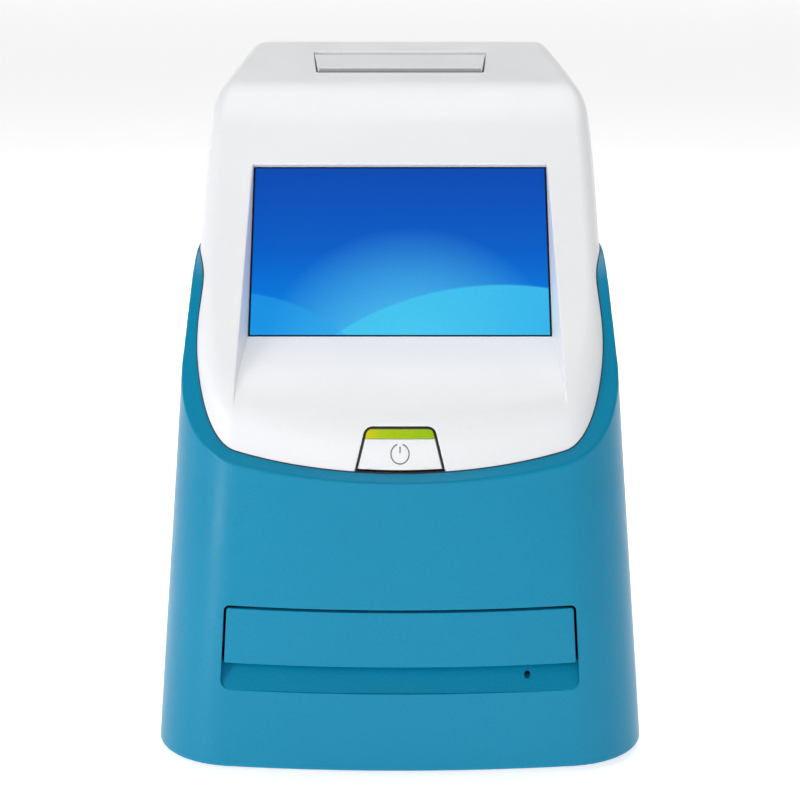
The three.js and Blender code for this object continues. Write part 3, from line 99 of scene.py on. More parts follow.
# The head: nose, sides, face, roof and back, with the corners between them
HEAD_HALF, HEAD_BACK, HEAD_TOP = 102.0, 142.5, 330.6
SIDE_TAPER, TAPER_RISE, SIDE_LEAN, BACK_LEAN, EASING = 0.04, 0.096, 0.02, 0.02, 60.0
FOLD = (-120.004, 165.5)
FACE_SLOPE = 1.0721924
BROW_Y, BROW_Z, ROOF_SLOPE = 36.0, 311.0, 0.195
NOSE_Y, NOSE_Z, NOSE_SLOPE, NOSE_ROUND = -129.0, 148.2, 0.52, 530
NOSE_CORNER, BROW_CORNER, FACE_CORNER, ROOF_CORNER = 23.0, 12.0, 3, 9
BACK_CORNER, BACK_ROOF_CORNER = 18, 6

# The head's walls, its foot in the housing and the gaps around that foot
HEAD_WALL, HEAD_FOOT_WALL, FOOT_WALL_HIGH, HOLE_WALL = 2.8, 5.5, 3.2, 3.1
HEAD_SUNK, TONGUE_INSET, TONGUE_DEEP = 2.2, 3.2, 8
NOSE_DEEP, HOLE_GAP, TONGUE_GAP, TONGUE_CUT = 28, 0.3, 2.9, 0.6

# The screen and its recess
SCREEN_Y, SCREEN_Z, SCREEN_LEAN = -59.9977, 198.0, 0.6701837
SCREEN_HALF, SCREEN_HIGH = 76.4, 99.0
RECESS_DRAFT, RECESS_FOOT_OUT, RECESS_FOOT_DOWN = 0.15, 22.8, 37.2
RECESS_CORNER, RECESS_EDGE, RECESS_FOOT_EDGE = 0.9, 0.7, 7.0
APERTURE_OUT, APERTURE_DEEP = 0.3, 20

# The drawer's mouth, panel and finger scoop, and the release hole
MOUTH_FOOT, MOUTH_TOP, MOUTH_HALF, MOUTH_TOP_HALF = 41.3, 82.1, 86.7, 84.4
DRAWER_FOOT, DRAWER_TOP, DRAWER_GAP, DRAWER_BACK = 54.3, 80.9, 1.2, -133.4
PANEL_TOP_CORNER, PANEL_FOOT_CORNER, PANEL_EDGE, PANEL_BACK_EDGE = 1.2, 0.8, 0.4, 0.1
MOUTH_TOP_CORNER, MOUTH_FOOT_CORNER, MOUTH_EDGE = 2.6, 4.5, 0.4
MOUTH_COLLAR, COLLAR_DEEP = 3.0, 20
SCOOP_DEEP, SCOOP_HIGH, SCOOP_SHIFT = 10, 13, 1.09
RELEASE_X, RELEASE_Z, RELEASE_RADIUS, RELEASE_PAST, RELEASE_EDGE = 61.4, 47.8, 1.5, 0.3, 0.3

# The housing's screw posts, rear grille and connector window
FRONT_BOSS, REAR_BOSS = (101.2, -127.4), (104.6, 135.0)
BOSS_RADIUS, BOSS_FOOT, BOSS_TOP, BOSS_INSET = 6.5, 6.5, 26.0, 0.3
SCREW_RADIUS, SCREW_TOP = 1.65, 18.5
REAR_CUT = 144.0
GRILLE_Z, GRILLE_STEP, GRILLE_HALF_ROWS, GRILLE_HALF = 122.0, 6.0, 4, 28.0
SLOT_HALF, SLOT_CORNER, SLOT_EDGE = 1.5, 1.2, 0.5
WINDOW_Z, WINDOW_HALF, WINDOW_HALF_HIGH, WINDOW_CORNER, WINDOW_EDGE = 38.0, 74.0, 21.0, 2.0, 0.6

# The power button: the cap's outline on the nose, its lit band and its flange
BUTTON_FOOT, BUTTON_TOP, BUTTON_HIGH = 149.9, 165.3, 15.4
BUTTON_HALF, BUTTON_TOP_HALF, BUTTON_CORNER = 19.6, 15.6, 1.8
BUTTON_GAP, BUTTON_HOLE_BACK, BUTTON_HOLE_FOOT, BUTTON_HOLE_EDGE = 1.2, -100.1, 129.9, 0.6
CAP_RISE, CAP_DEEP, CAP_EDGE = 0.6, 7.0, 0.5
LENS_FOOT, LENS_DEEP, LENS_GAP, LENS_CUT_DEEP, LENS_EDGE = 161.5, 5.5, 0.25, 5.8, 0.15
FLANGE_INSET, FLANGE_FOOT, FLANGE_REACH = 5.8, 146.9, 3.0

# Painted shade in the gap round the button: a dark liner beside and above the cap, a dark strip under the
# cap, and the ledge's pocket for the strip
GAP_SHADE_REACH, GAP_SHADE_CLEARANCE, GAP_SHADE_DEEP, GAP_SHADE_INSET = 1.1, 0.25, 4.5, 0.7
STRIP_HIGH, STRIP_FLAT, STRIP_FALL, STRIP_INSET = 0.06, 0.2, 0.95, 0.15
POCKET_REACH, POCKET_INSET, POCKET_DEEP, POCKET_BACK = 0.9, 0.05, 0.35, -100.0

# The printer's lid, its pin and the platen roller's ears
LID_FRONT, LID_PIN_Y, LID_PIN_Z = 74.5, 109.5, 319.4325
LID_HALF, LID_WIDENING, LID_FRONT_RISE, LID_BACK_RISE, LID_THICK = 45.3, 3.1, 2.2, 5.9, 2.7
LID_SIDE_EDGE, LID_EDGE, LIP_LEAN = 0.35, 0.3, 1.2
LID_HOLE_FRONT, LID_HOLE_BACK, LID_HOLE_HALF, LID_HOLE_BACK_HALF = 73.6, 116.3, 46.2, 49.3
LID_HOLE_DEEP, LID_HOLE_CORNER, LID_HOLE_EDGE = 20, 1.0, 0.4
CURL_RADIUS, CURL_HALF_THICK, CURL_ANGLE = 4.55, 1.35, 35
BARREL_RADIUS, BARREL_HALF, LID_PIN_RADIUS = 3.6, 43.6, 1.4
PLATEN_Y, PLATEN_Z, PLATEN_PIN_RADIUS = 83.5, 313.6625, 1.65
EAR_MIDDLE, EAR_HALF_THICK, EAR_REACH, EAR_ROOF_GAP = 29.4 + 1.1, 1.1, 3.5, 0.3


# Distances: negative inside, joined with round edges

def meet(a, b, radius=0.0):
    """What lies in both, with the edge between them rounded."""
    outside = np.hypot(np.maximum(a + radius, 0), np.maximum(b + radius, 0))
    return np.minimum(-radius, np.maximum(a, b)) + outside


def carve(a, b, radius=0.0):
    return meet(a, -b, radius)


def ramp(value, length):
    value = np.maximum(value, 0)
    return np.where(value < length, value ** 2 / (2 * length), value - length / 2)


def ease(value, low, high):
    share = np.clip((value - low) / (high - low), 0, 1)
    return share * share * (3 - 2 * share)


def bezier(points, count=48):
    t = np.linspace(0, 1, count)[:, None]
    a, b, c, d = (np.array(p, float) for p in points)
    return a * (1 - t) ** 3 + 3 * b * t * (1 - t) ** 2 + 3 * c * t * t * (1 - t) + d * t ** 3


def rim_line():
    """The rim's line from the side: two curves that meet at the knee, with straight ends past the housing."""
    moved = lambda point, step: (point[0] + step[0], point[1] + step[1])
    rise = bezier([
        RIM_FRONT, moved(RIM_FRONT, FRONT_HANDLE), moved(RIM_KNEE, KNEE_HANDLE_BEFORE), RIM_KNEE,
    ])
    shoulder = bezier([
        RIM_KNEE, moved(RIM_KNEE, KNEE_HANDLE_AFTER), moved(RIM_TOP, TOP_HANDLE), RIM_TOP,
    ])
    return np.vstack([[moved(RIM_FRONT, RIM_LEAD)], rise, shoulder[1:], [RIM_REAR]])


rim = rim_line()
rim_even_y = np.arange(rim[0, 0], rim[-1, 0], 1.0)
rim_even_z = np.interp(rim_even_y, rim[:, 0], rim[:, 1])
rim_slope = np.gradient(rim_even_z, rim_even_y)


def over_rim(y, z):
    """Distance above the rim's line, and the height above it."""
    height = z - np.interp(y, rim[:, 0], rim[:, 1])
    return height / np.hypot(1, np.interp(y, rim_even_y, rim_slope)), height


def ledge_hole(x, y, z):
    """The hole in the ledge where the face runs close over it."""
    across = np.abs(x) - LEDGE_HOLE_HALF
    return np.maximum.reduce([across, LEDGE_HOLE_FRONT - y, y - LEDGE_HOLE_REAR, LEDGE_HOLE_FOOT - z])


def nose_y(z):
    return NOSE_Y + NOSE_SLOPE * (z - NOSE_Z)


def behind_nose(y, z):
    return (y - nose_y(z)) / math.hypot(1, NOSE_SLOPE)


def roof_z(y):
    return BROW_Z + ROOF_SLOPE * (y - BROW_Y)


def head_skin(x, y, z):
    """The head's outside, without its recess and holes."""
    centre = nose_y(z) + NOSE_ROUND
    nose = (np.hypot(x, y - centre) - NOSE_ROUND) / math.hypot(1, NOSE_SLOPE)
    rise = ramp(z - RIM_REAR[1], EASING)
    taper = SIDE_TAPER + TAPER_RISE * rise / EASING
    side = np.abs(x) - (HEAD_HALF - taper * ramp(y, EASING) - SIDE_LEAN * rise)
    face = (FOLD[0] + FACE_SLOPE * (z - FOLD[1]) - y) / math.hypot(1, FACE_SLOPE)
    roof = (z - roof_z(y)) / math.hypot(1, ROOF_SLOPE)
    edge = FACE_CORNER + (ROOF_CORNER - FACE_CORNER) * ease(y, FOLD[0], FOLD[0] + EASING)
    front = meet(nose, side, NOSE_CORNER)
    top = meet(face, roof, BROW_CORNER)
    back = y - (HEAD_BACK - BACK_LEAN * (z - roof_z(REAR)))
    fall = (BACK_CORNER - BACK_ROOF_CORNER) * ease(z, roof_z(0.0) - EASING, roof_z(0.0))
    return meet(meet(front, top, edge), back, BACK_CORNER - fall)


def on_screen(y, z):
    """Up along the glass, and out of it."""
    dy, dz = y - SCREEN_Y, z - SCREEN_Z
    up = dy * math.sin(SCREEN_LEAN) + dz * math.cos(SCREEN_LEAN)
    out = -dy * math.cos(SCREEN_LEAN) + dz * math.sin(SCREEN_LEAN)
    return up, out


def with_recess(skin, x, up, out):
    """The head with the screen's recess: crisp at its top and sides, running out softly at its foot."""
    side = (np.abs(x) - SCREEN_HALF - RECESS_DRAFT * out) / math.hypot(1, RECESS_DRAFT)
    across = math.hypot(RECESS_FOOT_OUT, RECESS_FOOT_DOWN)
    floor = (-RECESS_FOOT_OUT * up - RECESS_FOOT_DOWN * out) / across
    around = np.maximum(meet(up - SCREEN_HIGH, side, RECESS_CORNER), -out)
    return np.minimum(carve(skin, around, RECESS_EDGE), carve(skin, floor, RECESS_FOOT_EDGE))


def button_shape(x, z, grow):
    """The button's outline seen from the front, grown by grow; it is open at its foot."""
    slope = (BUTTON_HALF - BUTTON_TOP_HALF) / BUTTON_HIGH
    side = (np.abs(x) - (BUTTON_HALF - slope * (z - BUTTON_FOOT))) / math.hypot(1, slope)
    return meet(side - grow, z - BUTTON_TOP - grow, BUTTON_CORNER + grow)


def under_button(skin):
    """How far the dark strip of painted shade under the cap stands over the ledge: it falls away inward, as
    the cap does.
    """
    return STRIP_HIGH - STRIP_FALL * np.maximum(-skin - STRIP_FLAT, 0)


def lid_hole_half(y):
    wider = (LID_HOLE_BACK_HALF - LID_HOLE_HALF) * (y - LID_HOLE_FRONT) / (LID_HOLE_BACK - LID_HOLE_FRONT)
    return LID_HOLE_HALF + wider


def lid_hole(x, y, z):
    around = meet(np.abs(x) - lid_hole_half(y), LID_HOLE_FRONT - y, LID_HOLE_CORNER)
    around = meet(around, y - LID_HOLE_BACK, LID_HOLE_CORNER)
    return np.maximum(around, np.abs(z - roof_z(y)) - LID_HOLE_DEEP)


def head_shell(x, y, z):
    """The hollow head with its foot in the housing, the screen's opening and the button's and lid's holes."""
    up, out = on_screen(y, z)
    skin = with_recess(head_skin(x, y, z), x, up, out)
    _, height = over_rim(y, z)
    hole = ledge_hole(x, y, z)
    visible = np.maximum(skin, -HEAD_SUNK - height)
    tongue = np.maximum(skin + TONGUE_INSET, -TONGUE_DEEP - height)
    core = np.maximum.reduce([skin, hole + HOLE_GAP, -NOSE_DEEP - height])
    body = np.minimum.reduce([visible, tongue, core])
    thin = np.minimum(FOOT_WALL_HIGH - height, hole + HOLE_WALL)
    hollow = np.minimum(skin + HEAD_FOOT_WALL, np.maximum(skin + HEAD_WALL, thin))
    shell = np.maximum(body, -hollow)
    aperture = np.maximum.reduce([
        np.abs(x) - SCREEN_HALF, -up, up - SCREEN_HIGH, out - APERTURE_OUT, -APERTURE_DEEP - out,
    ])
    around = button_shape(x, z, BUTTON_GAP)
    gap = np.maximum.reduce([around, y - BUTTON_HOLE_BACK, BUTTON_HOLE_FOOT - z])
    shell = np.maximum(shell, -aperture)
    shell = carve(shell, gap, BUTTON_HOLE_EDGE)
    return np.maximum(carve(shell, lid_hole(x, y, z), LID_HOLE_EDGE), z - HEAD_TOP)


def housing_outline(x, y, z):
    """Distance outside the lower housing's upright outline."""
    rise = np.clip(z, FOOT, OUTLINE_TOP) - FOOT
    roundness = np.clip(rise / FRONT_ROUND_RISE, 0, 1)
    nose = FRONT_ROUND_LOW + (FRONT_ROUND_HIGH - FRONT_ROUND_LOW) * roundness
    corner, rear = FRONT_CORNER, REAR_CORNER
    half = HALF - SIDE_SLOPE * rise
    front = FRONT + FRONT_SLOPE * rise
    back = REAR - BACK_SLOPE * rise
    ax = np.abs(x)
    cx = half - corner
    cy = front + nose - np.sqrt((nose - corner) ** 2 - cx ** 2)
    ny = front + nose
    from_nose = np.hypot(ax, y - ny) - nose
    start = np.arcsin(cx / (nose - corner))
    angle = np.arctan2(ax, ny - y)
    general = np.maximum.reduce([from_nose, ax - half, y - back])
    in_corner = (angle > start) & (y < cy) & (ax > cx)
    in_rear = (ax > half - rear) & (y > back - rear)
    result = np.where(in_corner, np.hypot(ax - cx, y - cy) - corner, general)
    return np.where(in_rear, np.hypot(ax - half + rear, y - back + rear) - rear, result)


def mouth(x, z, grow=0.0):
    slope = (MOUTH_HALF - MOUTH_TOP_HALF) / (MOUTH_TOP - MOUTH_FOOT)
    side = (np.abs(x) - (MOUTH_HALF - slope * (z - MOUTH_FOOT))) / math.hypot(1, slope) - grow
    upper = meet(side, z - MOUTH_TOP - grow, MOUTH_TOP_CORNER + grow)
    lower = meet(side, MOUTH_FOOT - z - grow, MOUTH_FOOT_CORNER + grow)
    return np.maximum(upper, lower)


def scoop(x, y, z):
    """The finger scoop's straight slope, from the drawer's foot out to the lip at the mouth's foot."""
    start = FRONT + FRONT_SLOPE * (MOUTH_FOOT - FOOT)
    bent = y - (FRONT_ROUND_LOW - np.sqrt(FRONT_ROUND_LOW ** 2 - x ** 2)) - start
    fall = (z - DRAWER_FOOT) / SCOOP_HIGH
    slant = (bent / SCOOP_DEEP - fall - SCOOP_SHIFT) / math.hypot(1 / SCOOP_DEEP, 1 / SCOOP_HIGH)
    cove = np.minimum(slant, bent)
    return np.maximum.reduce([cove, MOUTH_FOOT - z, z - DRAWER_FOOT])


BOSSES = [(side * bx, by) for side in (-1, 1) for bx, by in (FRONT_BOSS, REAR_BOSS)]


def housing_shell(x, y, z):
    """The hollow lower housing with its ledge, screw posts, drawer's mouth, scoop and rear openings."""
    outline = housing_outline(x, y, z)
    level, height = over_rim(y, z)
    body = meet(meet(outline, level, HOUSING_EDGE), FOOT - z, HOUSING_FOOT_EDGE)
    shell = np.maximum(body, -np.maximum(outline + HOUSING_WALL, height + LEDGE))
    skin = head_skin(x, y, z)
    tongue = np.maximum(skin + TONGUE_GAP, -LEDGE - TONGUE_CUT - height)
    shell = np.maximum(shell, -tongue)
    shell = np.maximum(shell, -ledge_hole(x, y, z))
    # A pocket in the ledge for the dark strip of painted shade under the button
    pocket = np.maximum.reduce([
        button_shape(x, z, POCKET_REACH), skin + POCKET_INSET,
        under_button(skin) - POCKET_DEEP - height, y - POCKET_BACK,
    ])
    shell = np.maximum(shell, -pocket)
    frame_back = FRONT + COLLAR_DEEP
    collar = np.maximum.reduce([body, mouth(x, z, MOUTH_COLLAR), y - frame_back])
    shell = np.minimum(shell, collar)
    for bx, by in BOSSES:
        post = np.hypot(x - bx, y - by)
        pillar = np.maximum.reduce([post - BOSS_RADIUS, BOSS_FOOT - z, z - BOSS_TOP, outline + BOSS_INSET])
        shell = np.minimum(shell, pillar)
        shell = np.maximum(shell, -np.maximum(post - SCREW_RADIUS, z - SCREW_TOP))
    passage = np.maximum(DRAWER_FOOT - DRAWER_GAP - z, y)
    opening = np.maximum(mouth(x, z), np.minimum(passage, scoop(x, y, z)))
    shell = carve(shell, opening, MOUTH_EDGE)
    row = np.clip(np.round((z - GRILLE_Z) / GRILLE_STEP), -GRILLE_HALF_ROWS, GRILLE_HALF_ROWS)
    from_row = np.abs(z - GRILLE_Z - GRILLE_STEP * row)
    slot = meet(np.abs(x) - GRILLE_HALF, from_row - SLOT_HALF, SLOT_CORNER)
    shell = carve(shell, np.maximum(slot, REAR_CUT - y), SLOT_EDGE)
    window = meet(np.abs(x) - WINDOW_HALF, np.abs(z - WINDOW_Z) - WINDOW_HALF_HIGH, WINDOW_CORNER)
    shell = carve(shell, np.maximum(window, REAR_CUT - y), WINDOW_EDGE)
    around = np.hypot(x - RELEASE_X, z - RELEASE_Z) - RELEASE_RADIUS
    return carve(shell, np.maximum(around, y - frame_back - RELEASE_PAST), RELEASE_EDGE)


def button_cap(x, y, z):
    """The cap with its flange, cut back where the lit band sits."""
    skin, behind = head_skin(x, y, z), behind_nose(y, z)
    shape = np.maximum(button_shape(x, z, 0.0), CAP_RISE - over_rim(y, z)[1])
    cap = np.maximum(meet(skin, shape, CAP_EDGE), behind - CAP_DEEP)
    lens = np.maximum(LENS_FOOT - LENS_GAP - z, behind - LENS_CUT_DEEP)
    cap = np.maximum(cap, -lens)
    flange = np.maximum.reduce([
        skin + FLANGE_INSET, behind - CAP_DEEP, FLANGE_FOOT - z, z - BUTTON_TOP,
        button_shape(x, z, FLANGE_REACH),
    ])
    return np.minimum(cap, flange)


def button_lens(x, y, z):
    front = meet(head_skin(x, y, z), button_shape(x, z, 0.0), CAP_EDGE)
    return meet(np.maximum(front, behind_nose(y, z) - LENS_DEEP), LENS_FOOT - z, LENS_EDGE)


def drawer_panel(x, y, z):
    """The panel that closes the mouth, flush with the housing's front."""
    slope = (MOUTH_HALF - MOUTH_TOP_HALF) / (MOUTH_TOP - MOUTH_FOOT)
    half = MOUTH_HALF - DRAWER_GAP - slope * (z - MOUTH_FOOT)
    side = (np.abs(x) - half) / math.hypot(1, slope)
    upper = meet(side, z - DRAWER_TOP, PANEL_TOP_CORNER)
    lower = meet(side, DRAWER_FOOT - z, PANEL_FOOT_CORNER)
    front = meet(housing_outline(x, y, z), np.maximum(upper, lower), PANEL_EDGE)
    return meet(front, y - DRAWER_BACK, PANEL_BACK_EDGE)


LID_FRONT_Z = roof_z(LID_FRONT) + LID_FRONT_RISE


def lid_half(y):
    return LID_HALF + LID_WIDENING * (y - LID_FRONT) / (LID_PIN_Y - LID_FRONT)


def lid_lip(y, z):
    """Distance before the lid's leaning front face."""
    lean = (z - LID_FRONT_Z) * LIP_LEAN / LID_THICK
    return (LID_FRONT - y - lean) / math.hypot(1, LIP_LEAN / LID_THICK)


def printer_lid(x, y, z):
    """The lid's plate with the curl and the barrel round its pin, and two ears for the platen roller."""
    fall = (LID_PIN_Z + LID_BACK_RISE - LID_FRONT_Z) / (LID_PIN_Y - LID_FRONT)
    top = (z - LID_FRONT_Z - fall * (y - LID_FRONT)) / math.hypot(1, fall)
    side = np.abs(x) - lid_half(y)
    plate = meet(meet(top, side, LID_SIDE_EDGE), lid_lip(y, z), LID_EDGE)
    plate = meet(plate, -top - LID_THICK, LID_EDGE)
    plate = np.maximum(plate, y - LID_PIN_Y)
    around = np.hypot(y - LID_PIN_Y, z - LID_PIN_Z)
    angle = math.radians(CURL_ANGLE)
    past = (y - LID_PIN_Y) * math.cos(angle) - (z - LID_PIN_Z) * math.sin(angle)
    ring = meet(np.abs(around - CURL_RADIUS) - CURL_HALF_THICK, side, LID_SIDE_EDGE)
    curl = np.maximum.reduce([ring, LID_PIN_Y - y, LID_PIN_Z - z, past])
    barrel = np.maximum(around - BARREL_RADIUS, np.abs(x) - BARREL_HALF)
    lid = np.minimum(np.minimum(plate, curl), barrel)
    ear = np.abs(np.abs(x) - EAR_MIDDLE) - EAR_HALF_THICK
    ear = meet(ear, np.abs(y - PLATEN_Y) - EAR_REACH, LID_EDGE)
    ear = meet(ear, PLATEN_Z - EAR_REACH - z, LID_EDGE)
    ear = np.maximum(ear, z - roof_z(PLATEN_Y) + EAR_ROOF_GAP)
    lid = np.minimum(lid, ear)
    lid = np.maximum(lid, LID_PIN_RADIUS - around)
    return np.maximum(lid, PLATEN_PIN_RADIUS - np.hypot(y - PLATEN_Y, z - PLATEN_Z))


# Meshes from distances: the field is tried in blocks of cells, and worked out where the surface is near

BLOCK, NEAR_SHARE, FAR, BATCH = 4, 1.5, 1000.0, 400000
FLAT_PULL, MOVE_SHARE, SETTLE_SHARE = 0.04, 0.9, 0.5
LEAST_SLOPE, LEAST_SQUARE, TINY = 0.3, 0.2, 1e-9


def sample(field, low, high, cell):
    """The field on a lattice between low and high."""
    low = np.array(low, float)
    counts = np.ceil((np.array(high, float) - low) / cell).astype(int) + 1
    blocks = -(-counts // BLOCK)
    middles = [low[a] + cell * BLOCK * (np.arange(blocks[a]) + 0.5) for a in range(3)]
    grid = np.meshgrid(*middles, indexing="ij")
    rough = field(*(g.ravel() for g in grid)).reshape(blocks)
    near = np.abs(rough) < cell * BLOCK * NEAR_SHARE
    spread = lambda a: a.repeat(BLOCK, 0).repeat(BLOCK, 1).repeat(BLOCK, 2)[
        : counts[0], : counts[1], : counts[2]
    ]
    values = np.where(spread(rough) < 0, -FAR, FAR)
    places = np.argwhere(spread(near))
    for part in np.array_split(places, max(1, len(places) // BATCH)):
        spots = low + cell * part
        values[part[:, 0], part[:, 1], part[:, 2]] = field(*spots.T)
    return low, values


def gradient(field, points, step=0.02):
    slopes = []
    for axis in range(3):
        shift = np.zeros(3)
        shift[axis] = step
        slopes.append(field(*(points + shift).T) - field(*(points - shift).T))
    return np.stack(slopes, 1) / (2 * step)


def settle(field, points, most, turns=4):
    """Moves points onto the surface, none further than most."""
    start = points.copy()
    for _ in range(turns):
        slope = gradient(field, points)
        size = np.maximum((slope ** 2).sum(1), LEAST_SQUARE)
        points = points - slope * (field(*points.T) / size)[:, None]
        move = points - start
        length = np.maximum(np.linalg.norm(move, axis=1), TINY)
        points = start + move * np.minimum(1, most / length)[:, None]
    return points


CORNERS = [(i, j, k) for i in (0, 1) for j in (0, 1) for k in (0, 1)]


def net(field, low, high, cell):
    """Points and four-sided faces of the surface between low and high, sharp where it is sharp."""
    low, values = sample(field, low, high, cell)
    inside = values < 0
    size = np.array(values.shape) - 1
    window = lambda a, c: a[c[0] : c[0] + size[0], c[1] : c[1] + size[1], c[2] : c[2] + size[2]]
    count = sum(window(inside, c).astype(np.int8) for c in CORNERS)
    active = (count > 0) & (count < 8)
    cells = np.argwhere(active)
    ids = np.full(active.shape, -1)
    ids[active] = np.arange(len(cells))
    total = len(cells)
    # Sums for each cell: six products of the normals, the planes, the crossings and how many there are
    columns = 13
    sums = np.zeros((total, columns))
    quads = []
    for axis in range(3):
        one, two = (axis + 1) % 3, (axis + 2) % 3
        first = np.moveaxis(inside, axis, 0)
        change = np.moveaxis(first[:-1] != first[1:], 0, axis)
        spots = np.argwhere(change)
        spots = spots[(spots[:, one] > 0) & (spots[:, two] > 0)]
        spots = spots[(spots[:, one] < size[one]) & (spots[:, two] < size[two])]
        ahead, back_one, back_two = np.zeros(3, int), np.zeros(3, int), np.zeros(3, int)
        ahead[axis] = back_one[one] = back_two[two] = 1
        near = values[tuple(spots.T)]
        far = values[tuple((spots + ahead).T)]
        cross = low + cell * (spots + ahead * (near / (near - far))[:, None])
        slope = gradient(field, cross)
        steep = np.maximum(np.linalg.norm(slope, axis=1), LEAST_SLOPE)
        normal = slope / steep[:, None]
        cross = cross - normal * (field(*cross.T) / steep)[:, None]
        plane = (normal * cross).sum(1)
        terms = np.column_stack([
            normal[:, 0] ** 2, normal[:, 0] * normal[:, 1], normal[:, 0] * normal[:, 2],
            normal[:, 1] ** 2, normal[:, 1] * normal[:, 2], normal[:, 2] ** 2,
            normal * plane[:, None], cross, np.ones(len(cross)),
        ])
        ring = [spots - back_one - back_two, spots - back_two, spots, spots - back_one]
        faces = np.stack([ids[tuple(r.T)] for r in ring], 1)
        for k in range(4):
            for column in range(columns):
                sums[:, column] += np.bincount(faces[:, k], terms[:, column], total)
        outward = inside[tuple(spots.T)]
        faces[~outward] = faces[~outward][:, ::-1]
        quads.append(faces)
    number = np.maximum(sums[:, columns - 1], 1)
    middle = sums[:, 9:12] / number[:, None]
    matrix = sums[:, [0, 1, 2, 1, 3, 4, 2, 4, 5]].reshape(-1, 3, 3)
    right = sums[:, 6:9] - np.einsum("nij,nj->ni", matrix, middle)
    matrix = matrix + np.eye(3) * (FLAT_PULL * number)[:, None, None]
    move = np.linalg.solve(matrix, right[:, :, None])[:, :, 0]
    length = np.maximum(np.linalg.norm(move, axis=1), TINY)
    points = middle + move * np.minimum(1, MOVE_SHARE * cell / length)[:, None]
    return settle(field, points, SETTLE_SHARE * cell, 3), np.vstack(quads)


def mesh_of(name, points, faces):
    mesh = bpy.data.meshes.new(name)
    mesh.vertices.add(len(points))
    mesh.vertices.foreach_set("co", (points * MM).astype(np.float32).ravel())
    mesh.loops.add(faces.size)
    mesh.loops.foreach_set("vertex_index", faces.astype(np.int32).ravel())
    mesh.polygons.add(len(faces))
    mesh.polygons.foreach_set("loop_start", np.arange(len(faces), dtype=np.int32) * faces.shape[1])
    mesh.update(calc_edges=True)
    mesh.validate()
    return mesh


def corner_normals(field, mesh, spots, reach=0.4):
    """The surface's normal at each face corner, taken a little inside the face to keep sharp edges sharp."""
    corners = np.zeros(len(mesh.loops), np.int32)
    mesh.loops.foreach_get("vertex_index", corners)
    sides = np.zeros(len(mesh.polygons), np.int32)
    mesh.polygons.foreach_get("loop_total", sides)
    face = np.repeat(np.arange(len(sides)), sides)
    middle = np.stack([np.bincount(face, spots[corners, a], len(sides)) / sides for a in range(3)], 1)
    inward = middle[face] - spots[corners]
    length = np.maximum(np.linalg.norm(inward, axis=1), TINY)
    inward *= np.minimum(0.5, reach / length)[:, None]
    slope = gradient(field, spots[corners] + inward, 0.05)
    return slope / np.maximum(np.linalg.norm(slope, axis=1), TINY)[:, None]


def piece_from(name, field, low, high, cell, keep=1.0):
    """A shown piece, looked for between low and high, thinned where it is flat, with its true normals."""
    points, faces = net(field, low, high, cell)
    thing = bpy.data.objects.new(name, mesh_of(name, points, faces))
    scene.collection.objects.link(thing)
    if keep < 1:
        thin = thing.modifiers.new("thin", "DECIMATE")
        thin.ratio = keep
        thin.use_collapse_triangulate = True
        graph = bpy.context.evaluated_depsgraph_get()
        mesh = bpy.data.meshes.new_from_object(thing.evaluated_get(graph))
        thing.modifiers.clear()
        thing.data = mesh
        mesh.name = name
    mesh = thing.data
    spots = np.zeros(len(mesh.vertices) * 3, np.float32)
    mesh.vertices.foreach_get("co", spots)
    spots = spots.reshape(-1, 3).astype(float) / MM
    spots = settle(field, spots, 0.4, 2)
    mesh.vertices.foreach_set("co", (spots * MM).astype(np.float32).ravel())
    mesh.update()
    mesh.polygons.foreach_set("use_smooth", [True] * len(mesh.polygons))
    mesh.normals_split_custom_set(corner_normals(field, mesh, spots).tolist())
    return thing


# Materials, all from nodes

def srgb(*values):
    return tuple((v / 255 / 12.92) if v < 10.3 else ((v / 255 + 0.055) / 1.055) ** 2.4 for v in values)


